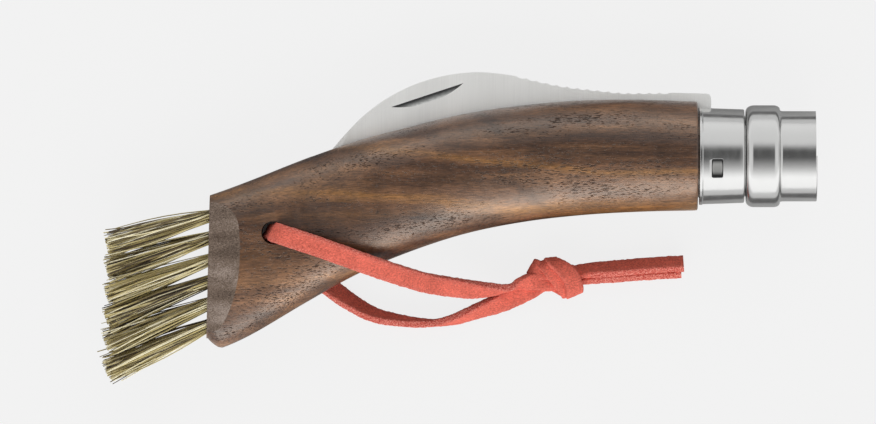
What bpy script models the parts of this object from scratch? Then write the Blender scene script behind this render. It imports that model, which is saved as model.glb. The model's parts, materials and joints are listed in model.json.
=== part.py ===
"""Folding mushroom knife: a hooked blade folded into a bent walnut handle, with a brush in its butt and a lace.

The knife lies on its side. +X runs from the brush to the collar, +Y from the handle's belly to the
blade's spine, and +Z from the ground up. Lengths are in metres. Each piece is modelled about the
blade's pivot, and the whole knife is then moved so that the origin lies under the middle of its box.
"""

import math
import random

import bmesh
import bpy
from mathutils import Matrix, Vector

# Clearances
SEAT_GAP = 0.0003            # between pieces that sit on each other
PIVOT_GAP = 0.00015          # round the rivet's shank
SWING_GAP = 0.0004           # on each side of the blade
FLOOR_GAP = 0.0008           # between the blade and the end and floor of its slot
CUT_OVERRUN = 0.006          # how far a cutter reaches past what it cuts

# Rivet
RIVET_RADIUS = 0.0015
RIVET_HEAD_LIP = 0.0005      # how far a head reaches past the shank
RIVET_HEAD_HEIGHT = 0.0007

# Lock ring, measured from the pivot
RING_REAR = 0.0038
RING_FRONT = 0.0104
RING_RADIUS = 0.0091
RING_WALL = 0.0007
BEAD_HEIGHT = 0.00115
BEAD_ROUND = 0.0013
BEAD_FOOT = 0.0003           # the bead's edge stands this much above the ring's tube
RING_SLOT = 0.0034
RING_EDGE_ROUND = 0.0002
CAM_STEP = 0.0002            # the upper half of the front edge is this much shorter

# Fixed ferrule
FERRULE_EXPOSED = 0.0090     # between the lock ring and the wood
FERRULE_STEP_HEIGHT = 0.0013 # from the part under the ring up to the exposed part
FERRULE_TAPER = 0.0003       # the exposed part's radius grows this much towards the wood
FERRULE_WALL = 0.0007
FERRULE_LIP = 0.0001
FERRULE_LIP_WIDTH = 0.0007
MARK_WIDTH = 0.0022          # punched crimp mark, along X
MARK_HEIGHT = 0.0032
MARK_DEPTH = 0.0003
MARK_SETBACK = 0.0036        # from the ferrule's rear end to the middle of the mark
MARK_ANGLE = math.radians(-18)

# Wooden handle
WOOD_STEP = 0.0012           # the wood's shoulder stands this much above the ferrule
SHOULDER_ROUND = 0.0004
BUTT_WOOD = 0.0217           # from the blade's tip to the butt
TOP_FALL = 0.0189            # how far the top line drops from shoulder to butt
BELLY_FALL = 0.0279          # how far the belly line drops
SIDE_FLAT_DEPTH = 0.00015    # the slight flat that the knife lies on
TOE_CUT = 0.0026             # of the corner between butt and belly, along either
TOE_POWER = 1.2              # 1 would cut the corner off straight, 2 would round it
BUTT_HALF_THICKNESS = 0.0049 # half of the butt's flat end, between the facets
FACET_LENGTH = 0.0068
FACET_DEPTH = 0.0036
BUTT_LEAN = math.radians(1.4)
HOLE_SETBACK = 0.0126        # from the butt to the lanyard hole
HOLE_RADIUS = 0.00225
HOLE_CHAMFER = 0.0007
HOLE_HEIGHT_SHARE = 0.399    # of the way from the top line to the belly line

# Station along the handle, fall of the top line and fall of the belly line, as shares
SECTION_SHARES = (
    (0.00, 0.000, 0.000),
    (0.12, -0.020, 0.010),
    (0.24, -0.010, 0.035),
    (0.36, 0.042, 0.085),
    (0.48, 0.135, 0.172),
    (0.60, 0.285, 0.312),
    (0.70, 0.426, 0.465),
    (0.80, 0.605, 0.660),
    (0.90, 0.810, 0.868),
    (0.96, 0.928, 0.970),
    (1.00, 1.000, 1.010),
)
TAPER_SHARES = (0.62, 0.92)          # stations between which the handle gets thinner
WIDEST_SHARES = (0.50, 0.29)         # where a section is widest, from its top, at shoulder and butt
SECTION_POWERS = (2.0, 2.5)          # a round section at the shoulder, a squarer one at the butt
SECTION_ANGLES = (9.5, 24, 40, 56, 73)

# Blade, folded: reach runs from the pivot to the tip, rise to the top of the spine
BLADE_THICKNESS = 0.0018
EDGE_THICKNESS = 0.00025
BLADE_REACH = 0.0896
BLADE_RISE = 0.0167
TANG_GAP = 0.0009            # between the tang's round end and the ferrule's bore
LOCK_PLAY = 0.0005           # between the open tang and the turned ring
LOCK_LENGTH = 0.0049         # of the tang's deep part, which the turned ring holds
LOCK_RUN = 0.0014            # length of the slope up to it from the tang's round end
SHOULDER_CORNER = 0.0010
CHOIL_SETBACK = 0.0017       # from the shoulder to the choil
CHOIL_LENGTH = 0.0010
CHOIL_DEPTH = 0.0020
HEEL_LENGTH = 0.0012         # from the choil to the start of the edge
GRIND_SHARE = 0.60           # the grind starts this far from the spine to the edge
SERRATION_COUNT = 15
SERRATION_SETBACK = 0.0083   # from the shoulder
SERRATION_PITCH = 0.00205
SERRATION_DEPTH = 0.0003
NICK_LENGTH = 0.0150
NICK_WIDTH = 0.0018
NICK_DEPTH = 0.0005
NICK_FLOOR = 0.0001          # depth left at the nick's round side
NICK_ANGLE = math.radians(18.3)
NICK_SHARES = (0.753, 0.728) # reach and rise of the middle of the nail nick

# Reach and rise of points on the spine, from shoulder to tip, as shares
SPINE_SHARES = (
    (0.131, 0.745),
    (0.223, 0.757),
    (0.312, 0.757),
    (0.379, 0.784),
    (0.446, 0.823),
    (0.502, 0.892),
    (0.558, 0.958),
    (0.625, 1.000),
    (0.681, 0.988),
    (0.737, 0.931),
    (0.792, 0.829),
    (0.848, 0.671),
    (0.898, 0.467),
    (0.946, 0.198),
    (0.978, -0.018),
    (1.000, -0.216),
)
# The same for the cutting edge, from heel to tip
EDGE_SHARES = (
    (0.163, -0.335),
    (0.290, -0.275),
    (0.402, -0.174),
    (0.513, -0.066),
    (0.625, 0.018),
    (0.737, 0.042),
    (0.826, 0.030),
    (0.904, -0.024),
    (0.960, -0.114),
    (1.000, -0.216),
)

# Brush
TUFT_ROWS = 6
TUFT_COLUMNS = 2
TOP_ROW_MARGIN = 0.0040      # from the top line at the butt to the first row
BOTTOM_ROW_MARGIN = 0.0051   # from the belly line at the butt to the last row
BORE_RADIUS = 0.0016
BORE_DEPTH = 0.0080
PLUG_SETBACK = 0.0008        # the packed bristles end this far inside the bore
TOP_ROW_ANGLE = math.radians(14)
BOTTOM_ROW_ANGLE = math.radians(24)
BRUSH_LENGTH = 0.0200        # from the butt to the trimmed tips, along X
TRIM_SCATTER = 0.0008
BRISTLES_PER_TUFT = 30
BRISTLE_RADIUS = 0.00011
BRISTLE_ROOT = 0.0004
BRISTLE_SWAY = 0.00015
TUFT_SPREAD = 1.9            # a tuft is this many times wider at its tips
ANCHOR_THICKNESS = 0.00035
ANCHOR_DEPTH = 0.0012

# Lace
LACE_WIDTH = 0.0040
LACE_THICKNESS = 0.0015
KNOT_CENTRE = (-0.0419, -0.0245, -0.0074)
KNOT_SIZE = (0.0112, 0.0086, 0.0063)

# Route of each stretch: x, y, z from the pivot, then the direction of the lace's width as a
# heading and an elevation in degrees
FRONT_ROUTE = (
    (-0.09874, -0.01525, 0.00015, 75, 0),
    (-0.09874, -0.01525, 0.0040, 75, 0),
    (-0.09874, -0.01525, 0.0074, 75, 0),
    (-0.0980, -0.01545, 0.0093, 75, 3),
    (-0.0962, -0.01595, 0.01025, 75, 6),
    (-0.0930, -0.0168, 0.0105, 74, 10),
    (-0.0862, -0.0190, 0.0102, 72, 20),
    (-0.0802, -0.0211, 0.0088, 71, 25),
    (-0.0750, -0.02295, 0.0062, 71, 15),
    (-0.0680, -0.0252, 0.0015, 75, 12),
    (-0.0597, -0.0267, -0.0032, 82, 28),
    (-0.0554, -0.0270, -0.0050, 90, 38),
    (-0.0508, -0.0261, -0.0060, 104, 42),
    (-0.0480, -0.0250, -0.0065, 110, 42),
)
BACK_ROUTE = (
    (-0.09874, -0.01525, -0.00015, 75, 0),
    (-0.09874, -0.01525, -0.0040, 64, 0),
    (-0.09874, -0.01530, -0.0071, 52, 0),
    (-0.0983, -0.01570, -0.0089, 46, 0),
    (-0.0970, -0.01700, -0.0099, 46, 0),
    (-0.0936, -0.0203, -0.00995, 46, -3),
    (-0.0901, -0.0237, -0.0094, 47, -18),
    (-0.0868, -0.0266, -0.0089, 50, -36),
    (-0.0822, -0.0299, -0.0087, 58, -55),
    (-0.0768, -0.0324, -0.0086, 70, -70),
    (-0.0680, -0.0335, -0.0086, 90, -90),
    (-0.0628, -0.0328, -0.0086, 105, -118),
    (-0.0560, -0.0306, -0.0094, 114, -160),
    (-0.0508, -0.0287, -0.0099, 114, -180),
    (-0.0470, -0.0273, -0.00995, 114, -180),
)
UPPER_TAIL_ROUTE = (
    (-0.0358, -0.0231, -0.0085, -90, 66),
    (-0.0290, -0.0223, -0.0085, -90, 66),
    (-0.0229, -0.0219, -0.0085, -90, 66),
    (-0.0160, -0.0217, -0.0085, -90, 66),
)
LOWER_TAIL_ROUTE = (
    (-0.0358, -0.0251, -0.0085, -90, 66),
    (-0.0320, -0.0246, -0.0085, -90, 66),
    (-0.0268, -0.0241, -0.0085, -90, 66),
    (-0.0164, -0.0236, -0.0085, -90, 66),
)
HOLE_SQUEEZE = 0.86          # the lace is this much smaller inside the hole
HOLE_REACH = 0.0080          # as far as this from the hole's middle

# Sizes that follow from the ones above
RIVET_HEAD_RADIUS = RIVET_RADIUS + RIVET_HEAD_LIP
RIVET_HOLE_RADIUS = RIVET_RADIUS + PIVOT_GAP
RING_BORE = RING_RADIUS - RING_WALL
BEAD_RADIUS = RING_RADIUS + BEAD_HEIGHT
BEAD_FRONT = RIVET_HEAD_RADIUS + SEAT_GAP + RING_WALL
FERRULE_RADIUS = RING_BORE - SEAT_GAP
FERRULE_WAIST_RADIUS = FERRULE_RADIUS + FERRULE_STEP_HEIGHT
FERRULE_REAR_RADIUS = FERRULE_WAIST_RADIUS + FERRULE_TAPER
FERRULE_BORE = FERRULE_RADIUS - FERRULE_WALL
FERRULE_REAR_BORE = FERRULE_WAIST_RADIUS - FERRULE_WALL
FERRULE_STEP = RING_REAR + SEAT_GAP
FERRULE_REAR = FERRULE_STEP + FERRULE_EXPOSED
FERRULE_FRONT = RING_FRONT - SEAT_GAP
TENON_FRONT = FERRULE_FRONT - SEAT_GAP
HANDLE_START = FERRULE_REAR + SEAT_GAP
HANDLE_LENGTH = BLADE_REACH + BUTT_WOOD - HANDLE_START
HANDLE_RADIUS = FERRULE_REAR_RADIUS + WOOD_STEP
SIDE_LIMIT = HANDLE_RADIUS - SIDE_FLAT_DEPTH
BUTT_SIDE = BUTT_HALF_THICKNESS + FACET_DEPTH
BUTT_X = -(HANDLE_START + HANDLE_LENGTH)
HOLE_X = BUTT_X + HOLE_SETBACK
SLOT_WIDTH = BLADE_THICKNESS + 2 * SWING_GAP
TANG_RADIUS = FERRULE_BORE - TANG_GAP
LOCK_DEPTH = RING_BORE - LOCK_PLAY
SHOULDER_REACH = RING_FRONT + SEAT_GAP
CHOIL_START = SHOULDER_REACH + CHOIL_SETBACK
LOCK_START = CHOIL_START - LOCK_LENGTH - LOCK_RUN

TURNED_SIDES = 32
SMALL_SIDES = 16
BORE_SIDES = 12


def shade(code):
    """Linear colour of an sRGB hex code."""
    channels = [int(code[place:place + 2], 16) / 255 for place in (0, 2, 4)]
    linear = [c / 12.92 if c <= 0.04045 else ((c + 0.055) / 1.055) ** 2.4 for c in channels]
    return (*linear, 1.0)


def material(name, code, roughness, metallic=0.0):
    made = bpy.data.materials.new(name)
    made.use_nodes = True
    surface = made.node_tree.nodes["Principled BSDF"]
    surface.inputs["Base Color"].default_value = shade(code)
    surface.inputs["Roughness"].default_value = roughness
    surface.inputs["Metallic"].default_value = metallic
    made.diffuse_color = shade(code)
    return made


def finish(name, bm, look=None, smooth_angle=None):
    """Turn a bmesh into a closed object with its faces pointing out."""
    bmesh.ops.recalc_face_normals(bm, faces=bm.faces)
    mesh = bpy.data.meshes.new(name)
    bm.to_mesh(mesh)
    bm.free()
    if smooth_angle is not None:
        mesh.shade_smooth()
        mesh.set_sharp_from_angle(angle=math.radians(smooth_angle))
    made = bpy.data.objects.new(name, mesh)
    bpy.context.scene.collection.objects.link(made)
    if look is not None:
        mesh.materials.append(look)
    return made


def boolean(target, cutter, operation="DIFFERENCE"):
    """Add a live Boolean and mark its cutter as a guide that isn't part of the knife."""
    modifier = target.modifiers.new(cutter.name, "BOOLEAN")
    modifier.operation = operation
    modifier.solver = "EXACT"
    modifier.object = cutter
    cutter.hide_render = True
    cutter.display_type = "WIRE"


def smooth_line(rows, steps):
    """Points on a smooth curve through the rows, with this many steps between each two."""
    first = [2 * a - b for a, b in zip(rows[0], rows[1])]
    last = [2 * a - b for a, b in zip(rows[-1], rows[-2])]
    padded = [first, *rows, last]
    line = []
    for before, start, end, after in zip(padded, padded[1:], padded[2:], padded[3:]):
        for step in range(steps):
            t = step / steps
            pulls = (-t ** 3 + 2 * t ** 2 - t, 3 * t ** 3 - 5 * t ** 2 + 2)
            pulls += (-3 * t ** 3 + 4 * t ** 2 + t, t ** 3 - t ** 2)
            columns = zip(before, start, end, after)
            line.append([sum(pull * value for pull, value in zip(pulls, column)) / 2 for column in columns])
    line.append(list(rows[-1]))
    return line


def evenly(points, count):
    """Points spaced evenly along a line of points."""
    lengths = [0.0]
    for a, b in zip(points, points[1:]):
        lengths.append(lengths[-1] + math.dist(a, b))
    spaced = []
    for index in range(count):
        wanted = lengths[-1] * index / (count - 1)
        place = max(k for k in range(len(points) - 1) if lengths[k] <= wanted)
        share = (wanted - lengths[place]) / (lengths[place + 1] - lengths[place])
        spaced.append([a + share * (b - a) for a, b in zip(points[place], points[place + 1])])
    return spaced


def at_key(rows, key):
    """The row at a key, read between rows that are sorted by their first value."""
    for low, high in zip(rows, rows[1:]):
        if key <= high[0]:
            break
    share = (key - low[0]) / (high[0] - low[0])
    return [a + share * (b - a) for a, b in zip(low, high)]


def quarter(steps):
    """Angles from zero to a quarter turn."""
    return [math.pi / 2 * step / steps for step in range(steps + 1)]


def loft(bm, rings, closed=False):
    """Skin rings of equal size with quads. Without closed, the first and last ring are capped."""
    grid = [[bm.verts.new(point) for point in ring] for ring in rings]
    pairs = list(zip(grid, grid[1:]))
    if closed:
        pairs.append((grid[-1], grid[0]))
    for one, other in pairs:
        for a, b, c, d in zip(one, other, other[1:] + other[:1], one[1:] + one[:1]):
            bm.faces.new((a, b, c, d))
    if not closed:
        bm.faces.new(grid[0])
        bm.faces.new(grid[-1])
    return bm


def turned(name, profile, sides, look=None, hollow=True):
    """Turn a profile of (place, radius) points round X. A solid one starts and ends in a cap."""
    turns = [2 * math.pi * (side + 0.5) / sides for side in range(sides)]
    rings = [[(x, r * math.cos(turn), r * math.sin(turn)) for turn in turns] for x, r in profile]
    return finish(name, loft(bmesh.new(), rings, closed=hollow), look, 35)


def prism(name, outline, low, high, look=None):
    """Extrude an outline in XY from one height to another."""
    bm = bmesh.new()
    loft(bm, [[(x, y, z) for x, y in outline] for z in (low, high)])
    return finish(name, bm, look)


def box(name, low, high):
    outline = [(low[0], low[1]), (high[0], low[1]), (high[0], high[1]), (low[0], high[1])]
    return prism(name, outline, low[2], high[2])


def stand_upright(piece):
    """Turn a piece that was turned round X so that its axis is Z."""
    piece.data.transform(Matrix.Rotation(-math.pi / 2, 4, "Y"))
    return piece


def blend(ends, share):
    return ends[0] + (ends[1] - ends[0]) * share


def handle_station(station):
    """Top, belly, side and the section's shape at a station of the handle."""
    row = at_key(smooth_line(SECTION_SHARES, 2), station)
    top = HANDLE_RADIUS - TOP_FALL * row[1]
    belly = -HANDLE_RADIUS - BELLY_FALL * row[2]
    taper = min(1.0, max(0.0, (station - TAPER_SHARES[0]) / (TAPER_SHARES[1] - TAPER_SHARES[0])))
    side = blend((HANDLE_RADIUS, BUTT_SIDE), taper * taper * (3 - 2 * taper))
    return top, belly, side, blend(WIDEST_SHARES, station), blend(SECTION_POWERS, station)


def handle_ring(x, station, toe_lift=0.0):
    """One section of the wood: a rounded egg with a narrow flat on each side."""
    top, belly, side, widest, power = handle_station(station)
    belly += toe_lift
    middle = top + (belly - top) * widest
    ring = []
    for sign, end in ((1, top), (-1, belly)):
        half = []
        for angle in SECTION_ANGLES:
            across = math.cos(math.radians(angle)) ** (2 / power)
            up = math.sin(math.radians(angle)) ** (2 / power)
            half.append((x, middle + (end - middle) * up, min(side * across, SIDE_LIMIT)))
        if sign > 0:
            half.reverse()
        ring.append(half)
    front = [(x, top, 0.0)] + ring[0] + ring[1] + [(x, belly, 0.0)]
    back = [(x, y, -z) for _, y, z in reversed(front[1:-1])]
    return front + back


def round_ring(x, radius):
    """A round section with its points at the same angles as the handle's."""
    upper = [math.radians(angle) for angle in SECTION_ANGLES]
    turns = [math.pi / 2] + upper[::-1] + [-turn for turn in upper] + [-math.pi / 2]
    turns += [math.pi - turn for turn in reversed(turns[1:-1])]
    return [(x, radius * math.sin(turn), radius * math.cos(turn)) for turn in turns]


def handle_rings():
    """All sections from the tenon's front to past the butt."""
    step = -(FERRULE_STEP + FERRULE_WALL + SEAT_GAP)
    front_radius = FERRULE_BORE - SEAT_GAP
    rear_radius = FERRULE_REAR_BORE - SEAT_GAP
    rings = [round_ring(TENON_FRONT, front_radius), round_ring(step, front_radius)]
    rings += [round_ring(step, rear_radius), round_ring(-HANDLE_START, rear_radius)]
    rings += [round_ring(-HANDLE_START, HANDLE_RADIUS - SHOULDER_ROUND)]
    rings += [handle_ring(-(HANDLE_START + SHOULDER_ROUND), 0.0)]
    toe_station = 1 - TOE_CUT / HANDLE_LENGTH
    for station, _, _ in smooth_line(SECTION_SHARES, 2)[1:]:
        if station < toe_station - SHOULDER_ROUND / HANDLE_LENGTH:
            rings.append(handle_ring(-(HANDLE_START + station * HANDLE_LENGTH), station))
    for turn in quarter(4):
        station = toe_station + (1 - toe_station) * math.sin(turn) ** (2 / TOE_POWER)
        lift = TOE_CUT * (1 - max(0.0, math.cos(turn)) ** (2 / TOE_POWER))
        rings.append(handle_ring(-(HANDLE_START + station * HANDLE_LENGTH), station, lift))
    rings.append(handle_ring(BUTT_X - TOE_CUT, 1.0, TOE_CUT))
    return rings


def butt_x(y):
    """Where the leaning butt face lies at a height."""
    top, belly = handle_station(1.0)[:2]
    return BUTT_X + (y - (top + belly) / 2) * math.tan(BUTT_LEAN)


def butt_keeper():
    """The space that the butt's flat end and its two facets leave of the wood."""
    slope = (BUTT_SIDE - BUTT_HALF_THICKNESS) / FACET_LENGTH
    wide = HANDLE_RADIUS + CUT_OVERRUN
    run = (wide - BUTT_HALF_THICKNESS) / slope
    front = TENON_FRONT + CUT_OVERRUN
    outline = [(0.0, -BUTT_HALF_THICKNESS), (0.0, BUTT_HALF_THICKNESS), (run, wide)]
    outline += [(front - BUTT_X, wide), (front - BUTT_X, -wide), (run, -wide)]
    reach = HANDLE_RADIUS + BELLY_FALL + CUT_OVERRUN
    bm = loft(bmesh.new(), [[(x, y, z) for x, z in outline] for y in (-reach, reach)])
    keeper = finish("butt_keeper", bm)
    top, belly = handle_station(1.0)[:2]
    middle = (top + belly) / 2
    keeper.data.transform(Matrix.Translation((0.0, -middle, 0.0)))
    keeper.data.transform(Matrix.Rotation(-BUTT_LEAN, 4, "Z"))
    keeper.data.transform(Matrix.Translation((BUTT_X, middle, 0.0)))
    return keeper


def slot_cutter():
    """The saw cut for the blade: through the tenon, then with a floor and a round end in the wood."""
    tip_radius = math.hypot(BLADE_REACH, SPINE_SHARES[-1][1] * BLADE_RISE) + FLOOR_GAP
    floor = -(LOCK_DEPTH + FLOOR_GAP)
    front = TENON_FRONT + CUT_OVERRUN
    high = BLADE_RISE + CUT_OVERRUN
    low = -(HANDLE_RADIUS + CUT_OVERRUN)
    start = math.asin(floor / tip_radius)
    end = math.asin(high / tip_radius)
    arc = [start + (end - start) * step / 8 for step in range(9)]
    outline = [(front, low), (front, high)]
    outline += [(-tip_radius * math.cos(turn), tip_radius * math.sin(turn)) for turn in reversed(arc)]
    through = -(HANDLE_START - SHOULDER_ROUND)
    outline += [(through, floor), (through, low)]
    return prism("slot_cutter", outline, -SLOT_WIDTH / 2, SLOT_WIDTH / 2)


def hole_place():
    """Height of the lanyard hole's middle and the wood's half thickness there."""
    top, belly, side = handle_station(1 - HOLE_SETBACK / HANDLE_LENGTH)[:3]
    return blend((top, belly), HOLE_HEIGHT_SHARE), side


def hole_cutter():
    """The lanyard hole with a chamfer at each mouth."""
    height, side = hole_place()
    mouth = side - HOLE_CHAMFER
    wide = HOLE_RADIUS + HOLE_CHAMFER + CUT_OVERRUN
    far = side + CUT_OVERRUN
    profile = [(-far, wide), (-mouth, HOLE_RADIUS), (mouth, HOLE_RADIUS), (far, wide)]
    cutter = stand_upright(turned("hole_cutter", profile, 2 * BORE_SIDES, hollow=False))
    cutter.data.transform(Matrix.Translation((HOLE_X, height, 0.0)))
    return cutter


def tuft_places():
    """Mouth and outward direction of each bristle bore, row by row from the top."""
    places = []
    top, belly = handle_station(1.0)[:2]
    ends = (top - TOP_ROW_MARGIN, belly + BOTTOM_ROW_MARGIN)
    pitch = 2 * BUTT_HALF_THICKNESS / TUFT_COLUMNS
    for row in range(TUFT_ROWS):
        turn = blend((TOP_ROW_ANGLE, BOTTOM_ROW_ANGLE), row / (TUFT_ROWS - 1))
        y = blend(ends, row / (TUFT_ROWS - 1))
        for column in range(TUFT_COLUMNS):
            z = (column - (TUFT_COLUMNS - 1) / 2) * pitch
            places.append((Vector((butt_x(y), y, z)), Vector((-math.cos(turn), -math.sin(turn), 0.0))))
    return places


def along_bore(place, direction):
    """Matrix that puts a piece modelled along +X into a bore, its zero at the bore's mouth."""
    across = Vector((0.0, 0.0, 1.0))
    other = across.cross(direction)
    return Matrix.Translation(place) @ Matrix((direction, other, across)).transposed().to_4x4()


def rod(bm, matrix, start, end, radius, sides):
    """A straight round rod from one place to another along +X of a matrix."""
    turns = [2 * math.pi * side / sides for side in range(sides)]
    rings = []
    for x in (start, end):
        rings.append([matrix @ Vector((x, radius * math.cos(turn), radius * math.sin(turn))) for turn in turns])
    return loft(bm, rings)


def make_handle(look):
    handle = finish("handle", loft(bmesh.new(), handle_rings()), look, 40)
    boolean(handle, butt_keeper(), "INTERSECT")
    boolean(handle, slot_cutter())
    boolean(handle, hole_cutter())
    bores = bmesh.new()
    for mouth, direction in tuft_places():
        rod(bores, along_bore(mouth, direction), -BORE_DEPTH, CUT_OVERRUN, BORE_RADIUS, BORE_SIDES)
    boolean(handle, finish("bore_cutter", bores))
    boolean(handle, rivet_hole_cutter("handle_rivet_hole"))
    return handle


def rivet_hole_cutter(name):
    reach = FERRULE_RADIUS + CUT_OVERRUN
    profile = [(-reach, RIVET_HOLE_RADIUS), (reach, RIVET_HOLE_RADIUS)]
    return stand_upright(turned(name, profile, SMALL_SIDES, hollow=False))


def make_ferrule(look):
    rear = -FERRULE_REAR
    lip = FERRULE_REAR_RADIUS + FERRULE_LIP
    profile = [(rear, FERRULE_REAR_BORE), (rear, FERRULE_REAR_RADIUS), (rear + FERRULE_LIP, lip)]
    profile += [(rear + FERRULE_LIP_WIDTH - FERRULE_LIP, lip), (rear + FERRULE_LIP_WIDTH, FERRULE_REAR_RADIUS)]
    profile += [(-FERRULE_STEP, FERRULE_WAIST_RADIUS), (-FERRULE_STEP, FERRULE_RADIUS)]
    profile += [(FERRULE_FRONT, FERRULE_RADIUS), (FERRULE_FRONT, FERRULE_BORE)]
    inner_step = -(FERRULE_STEP + FERRULE_WALL)
    profile += [(inner_step, FERRULE_BORE), (inner_step, FERRULE_REAR_BORE)]
    ferrule = turned("fixed_ferrule", profile, TURNED_SIDES, look)
    reach = FERRULE_REAR + CUT_OVERRUN
    boolean(ferrule, box("ferrule_slot", (-reach, 0.0, -SLOT_WIDTH / 2), (reach, reach, SLOT_WIDTH / 2)))
    boolean(ferrule, rivet_hole_cutter("ferrule_rivet_hole"))
    floor = FERRULE_REAR_RADIUS - MARK_DEPTH
    middle = rear + MARK_SETBACK
    low = (middle - MARK_WIDTH / 2, -MARK_HEIGHT / 2, floor)
    high = (middle + MARK_WIDTH / 2, MARK_HEIGHT / 2, floor + CUT_OVERRUN)
    mark = box("crimp_mark", low, high)
    mark.data.transform(Matrix.Rotation(-MARK_ANGLE, 4, "X"))
    boolean(ferrule, mark)
    return ferrule


def make_lock_ring(look):
    rear = -RING_REAR
    front = BEAD_FRONT
    foot = RING_RADIUS + BEAD_FOOT
    rise = BEAD_RADIUS - foot
    profile = [(rear, RING_BORE)]
    for turn in quarter(3):
        profile.append((rear + BEAD_ROUND * (1 - math.cos(turn)), foot + rise * math.sin(turn)))
    for turn in reversed(quarter(3)):
        profile.append((front - BEAD_ROUND * (1 - math.cos(turn)), foot + rise * math.sin(turn)))
    profile.append((front + 2 * BEAD_FOOT, RING_RADIUS))
    profile += [(RING_FRONT - RING_EDGE_ROUND, RING_RADIUS), (RING_FRONT, RING_RADIUS - RING_EDGE_ROUND)]
    groove = BEAD_RADIUS - RING_WALL
    profile += [(RING_FRONT, RING_BORE), (front - RING_WALL, RING_BORE), (front - BEAD_ROUND, groove)]
    profile += [(rear + BEAD_ROUND, groove), (rear + RING_WALL, RING_BORE)]
    ring = turned("lock_ring", profile, TURNED_SIDES, look)
    reach = RING_FRONT + CUT_OVERRUN
    boolean(ring, box("ring_slot", (-reach, 0.0, -RING_SLOT / 2), (reach, reach, RING_SLOT / 2)))
    cam = box("cam_step", (RING_FRONT - CAM_STEP, 0.0, -reach), (reach, reach, reach))
    boolean(ring, cam)
    return ring


def make_rivet(look):
    under = RING_BORE
    top = under + RIVET_HEAD_HEIGHT
    dome = [(under, RIVET_HEAD_RADIUS)]
    for turn in quarter(3)[:-1]:
        height = RIVET_HEAD_HEIGHT * (1 + math.sin(turn)) / 2
        dome.append((under + height, RIVET_HEAD_RADIUS * math.cos(turn)))
    dome.append((top, RIVET_HEAD_RADIUS * math.cos(quarter(3)[-2]) / 2))
    half = [(under, RIVET_RADIUS)] + dome
    profile = [(-x, r) for x, r in reversed(half)] + half
    return stand_upright(turned("pivot_rivet", profile, SMALL_SIDES, look, hollow=False))


def scalloped(spine):
    """The spine with its row of shallow scallops."""
    line = []
    start = SHOULDER_REACH + SERRATION_SETBACK
    end = start + SERRATION_COUNT * SERRATION_PITCH
    for reach, rise in spine:
        if not start < reach < end:
            line.append((reach, rise))
    for index in range(4 * SERRATION_COUNT + 1):
        reach = start + SERRATION_PITCH * index / 4
        cut = SERRATION_DEPTH * abs(math.sin(math.pi * index / 4))
        line.append((reach, at_key(spine, reach)[1] - cut))
    return sorted(line)


def spine_and_edge():
    """Reach and rise along the spine, from its shoulder, and along the edge, from its heel."""
    spine = [(a * BLADE_REACH, b * BLADE_RISE) for a, b in SPINE_SHARES]
    spine[0] = (SHOULDER_REACH + SHOULDER_CORNER, spine[0][1])
    edge = [(a * BLADE_REACH, b * BLADE_RISE) for a, b in EDGE_SHARES]
    edge[0] = (CHOIL_START + CHOIL_LENGTH + HEEL_LENGTH, edge[0][1])
    return smooth_line(spine, 3), evenly(smooth_line(edge, 3), 24)


def tang_outline(heel, spine_start):
    """Reach and rise of the tang, from the heel of the edge round the pivot to the spine's shoulder."""
    choil_end = CHOIL_START + CHOIL_LENGTH
    outline = [heel, (choil_end, -(LOCK_DEPTH - CHOIL_DEPTH)), (CHOIL_START, -LOCK_DEPTH)]
    outline += [(LOCK_START + LOCK_RUN, -LOCK_DEPTH), (LOCK_START, -TANG_RADIUS)]
    for step in range(9):
        turn = math.pi / 2 + math.pi * step / 8
        outline.append((TANG_RADIUS * math.cos(turn), -TANG_RADIUS * math.sin(turn)))
    outline.append((SHOULDER_REACH, TANG_RADIUS))
    for turn in quarter(3)[:-1]:
        across = SHOULDER_CORNER * (1 - math.cos(turn))
        outline.append((SHOULDER_REACH + across, spine_start[1] - SHOULDER_CORNER * (1 - math.sin(turn))))
    return outline


def make_blade(look):
    """The folded blade: two flat faces, the ground bevels down to the edge, and a rim round the rest."""
    spine, edge = spine_and_edge()
    grind = []
    for back, front in zip(evenly(spine, len(edge)), edge):
        grind.append([b + GRIND_SHARE * (f - b) for b, f in zip(back, front)])
    rim = tang_outline(edge[0], spine[0]) + scalloped(spine)
    bm = bmesh.new()
    thick = BLADE_THICKNESS / 2
    thin = EDGE_THICKNESS / 2
    sides = {}
    for sign in (1, -1):
        rim_verts = [bm.verts.new((-u, v, sign * thick)) for u, v in rim]
        grind_verts = [bm.verts.new((-u, v, sign * thick)) for u, v in grind[:-1]] + [rim_verts[-1]]
        edge_verts = [bm.verts.new((-u, v, sign * thin)) for u, v in edge]
        bm.faces.new(rim_verts + grind_verts[-2::-1])
        bm.faces.new((rim_verts[0], grind_verts[0], edge_verts[0]))
        for a, b, c, d in zip(grind_verts, grind_verts[1:], edge_verts[1:], edge_verts):
            bm.faces.new((a, b, c, d))
        sides[sign] = (rim_verts, edge_verts)
    (rim_up, edge_up), (rim_down, edge_down) = sides[1], sides[-1]
    for a, b, c, d in zip(edge_up, edge_up[1:], edge_down[1:], edge_down):
        bm.faces.new((a, b, c, d))
    last = len(rim) - 2
    for index in range(last + 1):
        corners = [rim_up[index], rim_up[index + 1], rim_down[index + 1], rim_down[index]]
        if index == 0:
            corners += [edge_down[0], edge_up[0]]
        if index == last:
            corners[2:2] = [edge_up[-1], edge_down[-1]]
        bm.faces.new(corners)
    blade = finish("blade", bm, look)
    boolean(blade, rivet_hole_cutter("blade_rivet_hole"))
    boolean(blade, nick_cutter())
    return blade


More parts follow.
